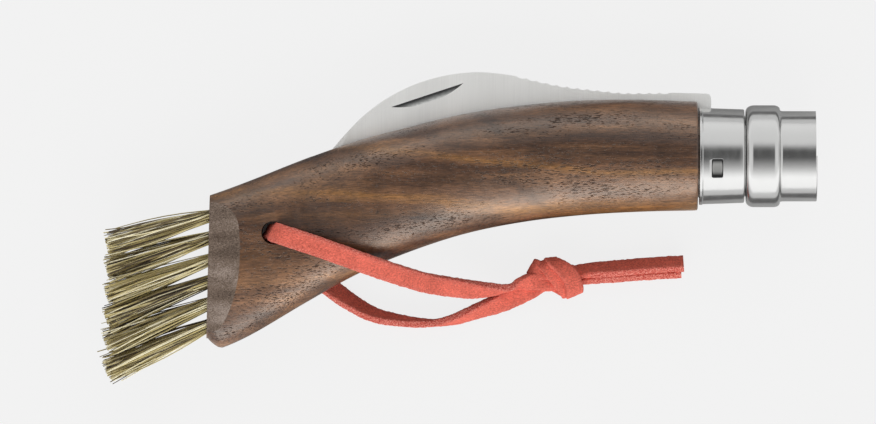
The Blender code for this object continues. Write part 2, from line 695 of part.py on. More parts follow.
def nick_cutter():
    """The nail nick: a crescent, deep along its straight side and shallow at its round one."""
    rise = NICK_LENGTH / 2
    outline = [(-rise, 0.0), (rise, 0.0)]
    for step in range(1, 10):
        share = 1 - 2 * step / 10
        outline.append((rise * share, -NICK_WIDTH * (1 - share * share)))
    face = BLADE_THICKNESS / 2
    fall = (NICK_DEPTH - NICK_FLOOR) / NICK_WIDTH
    floor = [(x, y, face - NICK_DEPTH - fall * y) for x, y in outline]
    lid = [(x, y, face + NICK_DEPTH) for x, y in outline]
    cutter = finish("nick_cutter", loft(bmesh.new(), [floor, lid]))
    cutter.data.transform(Matrix.Rotation(NICK_ANGLE, 4, "Z"))
    middle = Vector((-NICK_SHARES[0] * BLADE_REACH, NICK_SHARES[1] * BLADE_RISE, 0.0))
    cutter.data.transform(Matrix.Translation(middle))
    return cutter


def bristle(bm, matrix, chance, offset, start, length):
    """One three-sided bristle with a slight bend, leaning away from the middle of its tuft."""
    turn = chance.uniform(0, 2 * math.pi)
    sway = BRISTLE_SWAY * Vector((0.0, math.cos(turn), math.sin(turn)))
    rings = []
    for share, thick in ((0.0, 1.0), (0.5, 1.0), (1.0, 0.7)):
        spread = 1 + (TUFT_SPREAD - 1) * share ** 1.3
        centre = Vector((start + length * share, offset[0] * spread, offset[1] * spread)) + sway * share
        ring = []
        for side in range(3):
            angle = 2 * math.pi * side / 3
            across = Vector((0.0, math.cos(angle), math.sin(angle)))
            ring.append(matrix @ (centre + BRISTLE_RADIUS * thick * across))
        rings.append(ring)
    loft(bm, rings)


def make_tuft(number, mouth, direction, look):
    """Packed roots in the bore and the bristles that stand out of them, trimmed to one line."""
    matrix = along_bore(mouth, direction)
    inner = -(BORE_DEPTH - 2 * SEAT_GAP - ANCHOR_DEPTH)
    roots = rod(bmesh.new(), matrix, inner, -PLUG_SETBACK, BORE_RADIUS - SEAT_GAP, BORE_SIDES)
    tuft = finish(f"tuft_{number}", roots, look)
    chance = random.Random(number)
    strands = bmesh.new()
    reach = BORE_RADIUS - SEAT_GAP - 2 * BRISTLE_RADIUS
    start = -(PLUG_SETBACK + BRISTLE_ROOT)
    for index in range(BRISTLES_PER_TUFT):
        out = reach * math.sqrt((index + 0.5) / BRISTLES_PER_TUFT)
        turn = index * math.pi * (3 - math.sqrt(5))
        trimmed = BUTT_X - BRUSH_LENGTH + chance.uniform(-TRIM_SCATTER, TRIM_SCATTER)
        length = (trimmed - mouth.x) / direction.x - start
        bristle(strands, matrix, chance, (out * math.cos(turn), out * math.sin(turn)), start, length)
    boolean(tuft, finish(f"bristles_{number}", strands), "UNION")
    return tuft


def make_anchor(number, mouth, direction, look):
    """The flat wire that holds the folded bristles at the bottom of their bore."""
    half = math.sqrt((BORE_RADIUS - SEAT_GAP) ** 2 - ANCHOR_THICKNESS ** 2)
    start = -(BORE_DEPTH - SEAT_GAP)
    low = (start, -ANCHOR_THICKNESS / 2, -half)
    high = (start + ANCHOR_DEPTH, ANCHOR_THICKNESS / 2, half)
    anchor = box(f"tuft_anchor_{number}", low, high)
    anchor.data.transform(along_bore(mouth, direction))
    anchor.data.materials.append(look)
    return anchor


def make_ribbon(name, route, look):
    """A stretch of flat lace swept along its route."""
    rows = smooth_line(route, 2)
    rings = []
    for index, row in enumerate(rows):
        before = Vector(rows[max(index - 1, 0)][:3])
        after = Vector(rows[min(index + 1, len(rows) - 1)][:3])
        forward = (after - before).normalized()
        heading, lift = math.radians(row[3]), math.radians(row[4])
        width = Vector((math.cos(heading), math.sin(heading), 0.0)) * math.cos(lift)
        width.z = math.sin(lift)
        width = (width - forward * width.dot(forward)).normalized()
        flat = forward.cross(width)
        from_hole = math.dist(row[:3], route[0][:3])
        squeeze = HOLE_SQUEEZE if from_hole < HOLE_REACH else 1.0
        wide, thick = squeeze * LACE_WIDTH / 2, squeeze * LACE_THICKNESS / 2
        centre = Vector(row[:3])
        corners = ((-1, -1), (1, -1), (1, 1), (-1, 1))
        rings.append([centre + a * wide * width + b * thick * flat for a, b in corners])
    return finish(name, loft(bmesh.new(), rings), look, 30)


def make_knot(look):
    """The plain lump that the knot fills."""
    bm = bmesh.new()
    bmesh.ops.create_icosphere(bm, subdivisions=2, radius=0.5)
    bmesh.ops.scale(bm, vec=KNOT_SIZE, verts=bm.verts)
    bmesh.ops.translate(bm, vec=KNOT_CENTRE, verts=bm.verts)
    return finish("lace_knot", bm, look, 60)


def empty(name, parent=None):
    made = bpy.data.objects.new(name, None)
    made.empty_display_size = RING_RADIUS
    bpy.context.scene.collection.objects.link(made)
    made.parent = parent
    return made


def box_of(pieces):
    """Lowest and highest corner of some pieces, as their modifiers leave them."""
    shown = bpy.context.evaluated_depsgraph_get()
    corners = []
    for piece in pieces:
        corners += [piece.matrix_world @ Vector(corner) for corner in piece.evaluated_get(shown).bound_box]
    low = Vector([min(corner[axis] for corner in corners) for axis in range(3)])
    high = Vector([max(corner[axis] for corner in corners) for axis in range(3)])
    return low, high


def main():
    for old in list(bpy.data.objects):
        bpy.data.objects.remove(old, do_unlink=True)
    walnut = material("walnut", "5C4233", 0.5)
    steel = material("satin_blade_steel", "CDCDCB", 0.35, 1.0)
    collar_steel = material("polished_collar_steel", "C9C9C9", 0.18, 1.0)
    hair = material("boar_bristle", "A39A62", 0.7)
    wire = material("anchor_wire", "9A9A98", 0.4, 1.0)
    suede = material("coral_suede", "E0655A", 0.9)

    knife = empty("mushroom_knife")
    blade_pivot = empty("blade_pivot", knife)
    ring_pivot = empty("ring_pivot", knife)
    blade = make_blade(steel)
    ring = make_lock_ring(collar_steel)
    fixed = [make_handle(walnut), make_ferrule(collar_steel), make_rivet(collar_steel)]
    for number, (mouth, direction) in enumerate(tuft_places(), start=1):
        fixed.append(make_tuft(number, mouth, direction, hair))
        fixed.append(make_anchor(number, mouth, direction, wire))
    lace = [make_ribbon("lace_front", FRONT_ROUTE, suede), make_ribbon("lace_back", BACK_ROUTE, suede)]
    lace += [make_ribbon("lace_tail_upper", UPPER_TAIL_ROUTE, suede)]
    lace += [make_ribbon("lace_tail_lower", LOWER_TAIL_ROUTE, suede), make_knot(suede)]

    for piece in bpy.context.scene.collection.objects:
        if piece.type == "MESH":
            piece.parent = knife
    blade.parent = blade_pivot
    ring.parent = ring_pivot
    bpy.context.view_layer.update()
    low, high = box_of([blade, ring, *fixed])
    knife.location = (-(low.x + high.x) / 2, -(low.y + high.y) / 2, -low.z)
    bpy.context.view_layer.update()
    print("pivot", [round(value, 6) for value in blade_pivot.matrix_world.translation])
    print("size", [round(value, 6) for value in high - low])


main()
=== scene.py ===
"""Looks of a folding mushroom knife: walnut handle, hooked blade, steel collar, bristle brush and suede lace.

Lengths are in metres. Every piece is modelled about the blade's pivot, with +X from the brush to the
collar, +Y from the handle's belly to the blade's spine and +Z towards the viewer, and is then moved to
the pivot's place in the frame.
"""

import json
import math
import random
from functools import partial

import bmesh
import bpy
from bpy.props import FloatProperty, FloatVectorProperty, IntProperty, PointerProperty
from mathutils import Matrix, Vector, noise


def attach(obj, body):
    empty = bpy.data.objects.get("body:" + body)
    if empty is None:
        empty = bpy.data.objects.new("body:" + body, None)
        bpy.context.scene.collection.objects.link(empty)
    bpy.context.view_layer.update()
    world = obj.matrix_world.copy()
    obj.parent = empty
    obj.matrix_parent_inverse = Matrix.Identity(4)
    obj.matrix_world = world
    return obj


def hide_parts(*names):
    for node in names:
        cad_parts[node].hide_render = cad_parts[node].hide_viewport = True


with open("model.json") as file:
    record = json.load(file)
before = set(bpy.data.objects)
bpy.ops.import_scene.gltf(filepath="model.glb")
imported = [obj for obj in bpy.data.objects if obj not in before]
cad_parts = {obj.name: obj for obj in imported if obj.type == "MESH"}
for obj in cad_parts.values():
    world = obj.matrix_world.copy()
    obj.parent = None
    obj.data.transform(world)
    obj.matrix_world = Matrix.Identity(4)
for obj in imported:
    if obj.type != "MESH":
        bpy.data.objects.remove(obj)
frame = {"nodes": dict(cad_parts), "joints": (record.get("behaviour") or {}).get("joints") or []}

bl_info = {
    "name": "Folding Mushroom Knife",
    "version": (1, 0, 0),
    "blender": (4, 5, 0),
    "location": "3D Viewport > Sidebar > Knife",
    "description": "Builds the looks of a folding mushroom knife round its solid model",
    "category": "Object",
}

MM = 0.001
PIVOT = Vector(next(joint["pos_m"] for joint in frame["joints"] if joint["name"] == "blade_hinge"))

# Collar
RING_REAR = 3.8 * MM
RING_FRONT = 10.4 * MM
RING_RADIUS = 9.1 * MM
RING_BORE = 8.4 * MM
BEAD_RADIUS = 10.25 * MM
BEAD_FRONT = 3.0 * MM
FERRULE_REAR = 13.1 * MM
FERRULE_STEP = 4.1 * MM
FERRULE_RADII = (9.7 * MM, 9.4 * MM, 8.1 * MM)
FERRULE_BORES = (8.7 * MM, 7.4 * MM)
FERRULE_ENDS = (10.1 * MM, -4.8 * MM)    # of its narrow bore
RING_HALF_SLOT = 1.7 * MM
CAM_STEP = 0.2 * MM              # the upper half of the ring's front edge is this much shorter
MARK_SPAN = (2.4 * MM, 4.7 * MM)     # of the crimp mark, from the ferrule's rear end
MARK_HALF_HEIGHT = 1.95 * MM
MARK_DEPTH = 0.62 * MM
MARK_ROUND = 0.35 * MM
MARK_TURN = math.radians(15.5)

# Handle
HANDLE_START = 13.4 * MM
HANDLE_LENGTH = 97.9 * MM
HANDLE_RADIUS = 10.9 * MM
TOP_FALL = 18.9 * MM
BELLY_FALL = 27.9 * MM
SIDE_LIMIT = 10.75 * MM
BUTT_SIDE = 8.5 * MM
BUTT_HALF_THICKNESS = 4.9 * MM
FACET_LENGTH = 6.8 * MM
FACET_TILT = 0.045           # the half thickness that the facets leave shrinks by this share of the way down
TOE_CUT = 2.6 * MM
TOE_POWER = 1.2              # 1 would cut the corner off straight, 2 would round it
SHOULDER_ROUND = 0.4 * MM
THINNING = (0.62, 0.30)      # the sides close in from this station on, over this share of the length
WIDEST_SHARES = (0.50, 0.29)     # where between top and belly the wood is widest, at the shoulder and the butt
ROUNDNESS = (2.0, 2.5)       # power of its section there: 2 is an ellipse, and more is squarer
BUTT_LEAN = math.radians(1.4)
BUTT_X = -(HANDLE_START + HANDLE_LENGTH)
HOLE_X = BUTT_X + 13.0 * MM
HOLE_STATION = 12.6 * MM     # from the butt to where the hole's height and the wood's thickness are read
HOLE_HEIGHT_SHARE = 0.399    # of the way from the top line to the belly line
HOLE_RADIUS = 2.2 * MM
HOLE_RIM = 0.3 * MM
SLOT_WIDTH = 2.6 * MM
SWING_GAP = 0.8 * MM         # between the folded blade and the slot's floor and end
TENON_FRONT = 9.8 * MM
TENON_STEP = -5.1 * MM
TENON_RADII = (7.1 * MM, 8.4 * MM)
PIN_BORE = 1.65 * MM         # the hole for the pivot's rivet, through wood, ferrule and blade
FAR = 20 * MM                # cutters reach this far, well past what they cut
COLUMNS = 144                # of the handle's mesh, round it
MAIN_ROWS = 84               # along it, from shoulder to facets
FACET_ROWS = 12              # and down the facets
# Stations along the handle, with how far its top and belly lines have fallen there, as shares of the whole fall
SECTION_SHARES = (
    (0.00, 0.000, 0.000),
    (0.12, -0.020, 0.010),
    (0.24, -0.010, 0.035),
    (0.36, 0.042, 0.085),
    (0.48, 0.135, 0.172),
    (0.60, 0.285, 0.312),
    (0.70, 0.426, 0.465),
    (0.80, 0.605, 0.660),
    (0.90, 0.810, 0.868),
    (0.96, 0.928, 0.970),
    (1.00, 1.000, 1.010),
)

# Blade
BLADE_THICKNESS = 1.8 * MM
EDGE_THICKNESS = 0.25 * MM
BLADE_REACH = 89.6 * MM
BLADE_RISE = 16.7 * MM
TANG_RADIUS = 6.5 * MM
LOCK_DEPTH = 7.9 * MM
SHOULDER_REACH = 10.7 * MM
SCALLOP_START = 8.3 * MM         # from the spine's shoulder
SCALLOP_RUN = 15 * 2.05 * MM     # fifteen scallops of 2.05 mm each
SCALLOP_DEPTH = 0.3 * MM
GRIND_SHARE = 0.6                # how far from back to edge the flat faces reach, before the bevels
NICK_HALF_LENGTH = 7.6 * MM
NICK_WIDTH = 1.6 * MM
NICK_DEPTH = 0.5 * MM
NICK_TURN = math.radians(18.3)
NICK_SHARES = (0.753, 0.728)     # reach and rise of its middle
# Points of the blade's back and of its edge from the pivot, as shares of its reach and rise
SPINE_SHARES = (
    (0.131, 0.745), (0.223, 0.757), (0.312, 0.757), (0.379, 0.792), (0.446, 0.833), (0.502, 0.892),
    (0.558, 0.958), (0.625, 1.000), (0.681, 0.988), (0.737, 0.931), (0.792, 0.829), (0.848, 0.671),
    (0.898, 0.467), (0.946, 0.198), (0.978, -0.018), (1.000, -0.216),
)
EDGE_SHARES = (
    (0.163, -0.335), (0.290, -0.275), (0.402, -0.174), (0.513, -0.066), (0.625, 0.018),
    (0.737, 0.042), (0.826, 0.030), (0.904, -0.024), (0.960, -0.114), (1.000, -0.216),
)

# Brush
TUFT_ROWS = 6
BORE_RADIUS = 1.6 * MM
BORE_DEPTH = 8.0 * MM
ROW_ANGLES = (math.radians(14), math.radians(24))    # how far down the bores point, in the top row and the lowest
BRUSH_LENGTH = 20.0 * MM
ROW_MARGINS = (4.0 * MM, 5.1 * MM)       # from the top line to the first row and from the last to the belly line
CLUMPS = 7                               # in each tuft
STRAYS = (0.06, 2.4)                     # the share of hairs that stray, and how much more these lean
SHORT_HAIRS = (0.12, 0.5, 3.0)           # the share of hairs that are short, and by how many millimetres
HAIR_STEPS = 6
HAIR_ROOT = -1.4 * MM                    # the hairs start this deep in their bore
TUFT_DROOPS = (0.042, -0.008)    # how far the hairs lean out of their bore's line, in the top row and the lowest

# Lace: points in millimetres from the pivot, then the direction of the lace's width as a heading and
# an elevation in degrees
FRONT_ROUTE = (
    (-99.35, -15.35, 0.15, 60, 0),
    (-99.25, -15.3, 3.2, 60, 0),
    (-98.55, -15.25, 6.9, 60, 0),
    (-97.5, -15.4, 9.05, 62, 3),
    (-95.9, -15.95, 10.2, 67, 6),
    (-93.0, -16.9, 10.5, 73, 10),
    (-86.2, -19.2, 10.2, 72, 17),
    (-80.2, -21.4, 8.8, 71, 19),
    (-75.0, -23.2, 6.2, 71, 14),
    (-68.0, -25.3, 1.5, 75, 16),
    (-62.2, -26.3, -2.0, 80, 28),
    (-58.6, -26.75, -3.8, 85, 42),
    (-55.4, -26.85, -5.0, 90, 62),
    (-52.9, -26.75, -5.8, 96, 78),
    (-50.7, -26.3, -6.3, 100, 88),
)
BACK_ROUTE = (
    (-99.35, -15.35, -0.15, 60, 0),
    (-99.15, -15.3, -3.8, 56, 0),
    (-98.6, -15.35, -7.0, 50, 0),
    (-98.0, -15.75, -8.9, 46, 0),
    (-97.0, -17.00, -9.9, 46, 0),
    (-93.6, -20.3, -9.95, 46, -3),
    (-90.1, -23.6, -9.4, 47, -16),
    (-86.8, -26.4, -8.9, 50, -31),
    (-82.2, -29.7, -8.7, 58, -48),
    (-76.8, -32.25, -8.6, 70, -63),
    (-68.0, -33.45, -8.6, 90, -84),
    (-62.6, -32.85, -8.7, 105, -103),
    (-57.0, -30.9, -8.9, 112, -126),
    (-53.3, -29.6, -9.0, 114, -146),
    (-50.7, -28.5, -8.9, 114, -164),
)
UPPER_TAIL_ROUTE = (
    (-33.6, -22.8, -7.9, -90, 56),
    (-29.5, -22.5, -7.85, -90, 54),
    (-23.0, -21.95, -7.8, -90, 54),
    (-16.1, -21.55, -7.8, -90, 54),
)
LOWER_TAIL_ROUTE = (
    (-33.6, -24.0, -8.65, -90, 56),
    (-29.5, -23.7, -8.65, -90, 54),
    (-23.0, -23.2, -8.65, -90, 54),
    (-16.6, -22.85, -8.65, -90, 54),
)
KNOT_CENTRE = (-41.9, -24.5, -7.4)
# The knot, about its own centre: where each strand runs, which way its outer side faces, and the share
# of its width that the pull leaves. Both go in behind the knot's front, turn back at its right end, come
# over its top to the front, cross it down to the right, fold behind and leave through the middle. The
# outer one rounds the left end last, and makes the lobe there.
OUTER_KNOT = (
    (-6.8, -1.05, 1.0, 0.1, -0.8, 0.5, 0.9),
    (-4.9, -0.7, 0.75, 0.0, -0.4, 0.9, 0.86),
    (-2.6, -0.65, 0.3, 0.0, 0.0, 1.0, 0.86),
    (-0.2, -0.4, -0.1, 0.0, 0.0, 1.0, 0.8),
    (1.8, 0.0, -0.5, 0.4, 0.1, 0.9, 0.7),
    (2.9, 0.8, -1.2, 0.95, 0.3, -0.1, 0.7),
    (2.1, 1.6, -1.9, 0.3, 0.3, -0.9, 0.7),
    (0.7, 2.3, -1.9, 0.0, 0.2, -1.0, 0.7),
    (-0.6, 3.1, -1.4, -0.1, 0.75, -0.65, 0.7),
    (-0.85, 3.6, 0.1, -0.05, 1.0, 0.1, 0.68),
    (-0.2, 3.2, 1.3, 0.1, 0.75, 0.65, 0.68),
    (0.8, 2.6, 2.0, 0.2, 0.4, 0.9, 0.74),
    (2.05, 1.55, 2.4, 0.15, 0.15, 1.0, 0.84),
    (3.15, 0.2, 2.4, 0.12, 0.0, 1.0, 0.88),
    (3.75, -1.3, 2.15, 0.15, -0.1, 1.0, 0.9),
    (3.95, -2.4, 1.5, 0.3, -0.55, 0.8, 0.9),
    (3.75, -3.0, 0.2, 0.4, -0.91, 0.0, 0.88),
    (3.1, -2.5, -1.2, 0.2, -0.4, -0.9, 0.8),
    (1.3, -1.6, -2.1, 0.0, 0.0, -1.0, 0.8),
    (-1.2, -0.4, -2.3, -0.1, 0.0, -1.0, 0.8),
    (-3.2, 1.1, -1.8, -0.4, 0.2, -0.9, 0.84),
    (-4.4, 2.15, -0.5, -0.85, 0.5, -0.1, 0.86),
    (-3.75, 2.0, 0.55, -0.4, 0.3, 0.85, 0.86),
    (-2.2, 1.3, 0.5, -0.05, 0.1, 1.0, 0.84),
    (-0.2, 1.0, 0.0, 0.0, 0.1, 1.0, 0.8),
    (2.0, 1.15, -0.1, 0.0, 0.3, 0.95, 0.8),
    (4.1, 1.1, -0.25, 0.0, 0.7, 0.7, 0.86),
    (5.8, 1.45, -0.4, 0.0, 0.82, 0.57, 0.95),
)
INNER_KNOT = (
    (-6.8, -3.2, -0.9, 0.0, -0.2, 1.0, 0.95),
    (-4.8, -2.35, -0.7, 0.0, 0.0, 1.0, 0.88),
    (-2.8, -1.1, -0.6, 0.0, 0.0, 1.0, 0.86),
    (-0.9, -0.85, -0.7, 0.0, 0.0, 1.0, 0.86),
    (0.7, -0.4, -1.0, 0.2, 0.0, 1.0, 0.8),
    (1.6, 0.3, -1.4, 0.7, 0.2, 0.6, 0.7),
    (1.7, 0.9, -1.8, 0.8, 0.3, -0.5, 0.7),
    (0.8, 1.5, -2.0, 0.0, 0.3, -1.0, 0.7),
    (-0.9, 2.2, -1.9, -0.1, 0.3, -1.0, 0.7),
    (-1.9, 2.8, -1.2, -0.3, 0.75, -0.6, 0.76),
    (-2.2, 3.05, 0.0, -0.35, 0.93, 0.05, 0.8),
    (-1.8, 2.75, 0.9, -0.3, 0.5, 0.8, 0.82),
    (-1.0, 2.0, 1.25, -0.2, 0.1, 1.0, 0.84),
    (0.1, 0.7, 1.3, -0.15, -0.05, 1.0, 0.86),
    (1.1, -0.6, 1.25, -0.1, -0.1, 1.0, 0.86),
    (2.1, -1.85, 1.0, -0.1, -0.3, 0.95, 0.86),
    (2.8, -2.7, 0.4, 0.2, -0.85, 0.5, 0.86),
    (2.85, -2.95, -0.5, 0.4, -0.91, -0.1, 0.84),
    (2.3, -2.4, -1.5, 0.1, -0.4, -0.9, 0.8),
    (0.6, -1.4, -1.9, 0.0, 0.0, -1.0, 0.8),
    (-1.2, -0.4, -1.7, -0.5, 0.0, -0.85, 0.76),
    (-2.1, 0.3, -1.1, -1.0, 0.0, 0.0, 0.74),
    (-1.5, 0.35, -0.5, -0.4, 0.0, 0.9, 0.76),
    (0.7, 0.05, -0.6, 0.0, 0.0, 1.0, 0.8),
    (3.2, 0.1, -0.9, 0.0, 0.4, 0.9, 0.86),
    (5.6, 0.2, -1.2, 0.0, 0.8, 0.6, 0.95),
)
KNOT_THICKNESS_SHARE = 0.86      # what is left of the lace's thickness where the knot pulls it tight
PRESSED_EDGE = 0.35              # how much of the cut edges' pale fuzz shows there
LACE_CORNER = 0.36 * MM
LACE_STEP = 0.22                 # between its rings, in millimetres
HOLE_SQUEEZE = 0.86              # what is left of its width and thickness inside the hole
HOLE_REACH = 8.0                 # in millimetres from where the strands meet

# Stage: a camera far off with a long lens, which draws hardly any perspective
CAMERA_LENS = 800.0
SENSOR_WIDTH = 36.0
CAMERA_PLACE = (-65.32, -11.22, 3893.3)   # in millimetres from the pivot
FLOOR_Z = -0.0001
# The light tent that shiny surfaces mirror: its level as a share of the brightest, by the turn from straight
# up towards the blade's side in degrees, and the share left in the gap over the camera
TENT_BRIGHTEST = 1.55
TENT_SHARES = (
    (-100, 0.5), (-92, 0.93), (-56, 1.0), (-40, 0.71), (-25, 0.64), (28, 0.61), (55, 0.64), (80, 0.71), (92, 0.66),
    (100, 0.5),
)
GAP_SHARES = (
    (-42, 1.0), (-35, 0.82), (-24, 0.55), (-14, 0.32), (-5, 0.13), (11, 0.12), (16, 0.22), (21, 0.45), (27, 0.85),
    (33, 1.0),
)
# What glossy rays alone see on the floor: a card round the collar, as its shade by the distance in decimetres
# from a point this far above the pivot, and one under the handle, from a point this far behind the pivot
COLLAR_CARD = ((0.28, 0.62), (0.33, 0.2), (0.54, 0.2), (0.62, 0.9))
COLLAR_CARD_RISE = 6 * MM
HANDLE_CARD_BACK = 75 * MM
HANDLE_CARD_EDGE = (48 * MM, 62 * MM)
HANDLE_CARD_SHADE = 0.35
HOLE_DARK = (2.3 * MM, 3.4 * MM)     # the floor's colour under the lanyard hole is painted dark within the first of these, as painted shade
HOLE_DARK_SHADE = 0.2
GLOW_EDGE = (3 * MM, 9 * MM)         # and its glow comes back between these
FLOOR_GLOW = 0.92
DIFFUSE_LEVEL = 0.42             # of the surroundings, for all that isn't shiny
STRIP_LIT = "strip_lit_wood"     # the collection of what the low strip lamps light
STRIP_TINT = (1.0, 0.91, 0.80)   # their light is warm, as the oiled wood's sheen in the photograph is
# Each lamp's place, long side and short side in metres, power in watts, and whether it is a strip. Polished
# metal shows the tent instead of the softboxes, and the low strips light the wood alone and give it its sheen.
LAMPS = (
    ("key_softbox", (-0.05, -1.43, 0.93), 2.4, 1.2, 26.0, False),
    ("fill_softbox", (0.1, 1.45, 0.87), 2.4, 1.9, 14.0, False),
    ("belly_strip", (-0.05, -1.62, 0.53), 2.4, 0.9, 27.0, True),
    ("spine_strip", (0.1, 1.6, 0.55), 2.4, 0.7, 9.5, True),
)


def grey(level):
    return (level, level, level, 1.0)


def shade(code):
    """Linear colour of an sRGB hex code."""
    channels = [int(code[place:place + 2], 16) / 255 for place in (0, 2, 4)]
    linear = [c / 12.92 if c <= 0.04045 else ((c + 0.055) / 1.055) ** 2.4 for c in channels]
    return (*linear, 1.0)


COLOUR = {"subtype": "COLOR", "size": 4, "min": 0.0, "max": 1.0}
LENGTH = {"subtype": "DISTANCE", "unit": "LENGTH", "precision": 5}


class KnifeColours(bpy.types.PropertyGroup):
    """Colours that a user would change."""

    # Also the colour of the dark streaks, which paint shade along the handle's middle
    walnut_dark: FloatVectorProperty(
        name="Walnut Dark", description="Dark growth lines of the handle",
        default=shade("312017"), **COLOUR)
    walnut_light: FloatVectorProperty(
        name="Walnut Light", description="Light growth lines of the handle",
        default=shade("836043"), **COLOUR)
    walnut_gold: FloatVectorProperty(
        name="Walnut Gold", description="Warm streaks in the handle",
        default=shade("865E30"), **COLOUR)
    lace: FloatVectorProperty(
        name="Lace", description="Colour of the suede lace",
        default=shade("E2705F"), **COLOUR)
    floor: FloatVectorProperty(
        name="Floor", description="Colour of the floor and the surroundings",
        default=shade("F3F3F3"), **COLOUR)


class KnifeSizes(bpy.types.PropertyGroup):
    """Sizes and counts that a user would change."""

    bristles: IntProperty(
        name="Bristles", description="Bristles in each tuft", default=96, min=20, max=400)
    bristle_radius: FloatProperty(
        name="Bristle Radius", description="Radius of a bristle at its root",
        default=0.12 * MM, min=0.02 * MM, max=0.3 * MM, **LENGTH)
    lace_width: FloatProperty(
        name="Lace Width", description="Width of the flat lace",
        default=4.0 * MM, min=2.0 * MM, max=8.0 * MM, **LENGTH)
    lace_thickness: FloatProperty(
        name="Lace Thickness", description="Thickness of the flat lace",
        default=1.5 * MM, min=0.8 * MM, max=3.0 * MM, **LENGTH)
    serrations: IntProperty(
        name="Serrations", description="Shallow teeth on the blade's back", default=15, min=1, max=30)


def fill(node, sockets):
    """Give each socket a value or another node's output, which is the first one where the node alone is given."""
    for key, value in sockets.items():
        if isinstance(value, bpy.types.Node):
            value = value.outputs[0]
        if isinstance(value, bpy.types.NodeSocket):
            node.id_data.links.new(value, node.inputs[key])
        else:
            node.inputs[key].default_value = value


def add_node(tree, kind, *first, at=None, stops=None, **named):
    """Add a node with its settings and links.

    Its first sockets come in order and those further on by number in at. A name with a capital letter is a
    socket's, with _ for each space, and any other is a setting's.
    """
    made = tree.nodes.new("ShaderNode" + kind)
    sockets = {**dict(enumerate(first)), **(at or {})}
    for key, value in named.items():
        if key[0].isupper():
            sockets[key.replace("_", " ")] = value
        else:
            setattr(made, key, value)
    fill(made, sockets)
    if stops:
        elements = made.color_ramp.elements
        while len(elements) < len(stops):
            elements.new(0.5)
        for element, (place, colour) in zip(elements, stops):
            element.position = place
            element.color = shade(colour) if isinstance(colour, str) else colour
    return made


def new_material(name, **sockets):
    """A material, its Principled surface with these sockets set, and the function that adds a node to it."""
    made = bpy.data.materials.new(name)
    made.use_nodes = True
    surface = made.node_tree.nodes["Principled BSDF"]
    fill(surface, {key.replace("_", " "): value for key, value in sockets.items()})
    return made, surface, partial(add_node, made.node_tree)


def millimetres(add, *scale):
    """Object coordinates about the pivot, in millimetres times a scale for each direction."""
    offset = add("VectorMath", add("TexCoord").outputs["Object"], PIVOT, operation="SUBTRACT")
    return add("VectorMath", offset, [share / MM for share in scale], operation="MULTIPLY").outputs[0]


# Single streaks in the walnut: where their middles run, as (along, height) in millimetres from the pivot, then
# their half width and how much of their colour shows
GOLD_STREAKS = (
    (((-100, -7.6), (-84, -8.4), (-68, -8.9), (-50, -10.6), (-30, -10.8), (-3, -10.2)), 1.1, 0.62),
    (((-100, 2.0), (-80, 0.8), (-67, 0.2), (-43, -2.6), (-33, -4.0), (-3, -3.0)), 0.8, 0.6),
)
# The dark streaks follow the handle's middle: dark grain, with painted shade of the dark band mirrored there
SHADED_MIDDLE_STREAKS = (
    (((-62, 14.0), (-52, 3.5), (-43, 1.0), (-30, 0.6), (-3, 0.3)), 2.6, 0.9),
    (((-100, -13.5), (-84, -10.0), (-76, -6.2), (-61, -3.9), (-50, -5.6), (-40, -14.0)), 1.3, 0.6),
)
STREAK_WAVE = 5.0       # the most that the slow waves move a streak, in millimetres
STREAK_LENGTH = 100.0   # the ramps that hold the middles span this much along the handle
STREAK_HEIGHT = 20.0    # and this much above and below the pivot


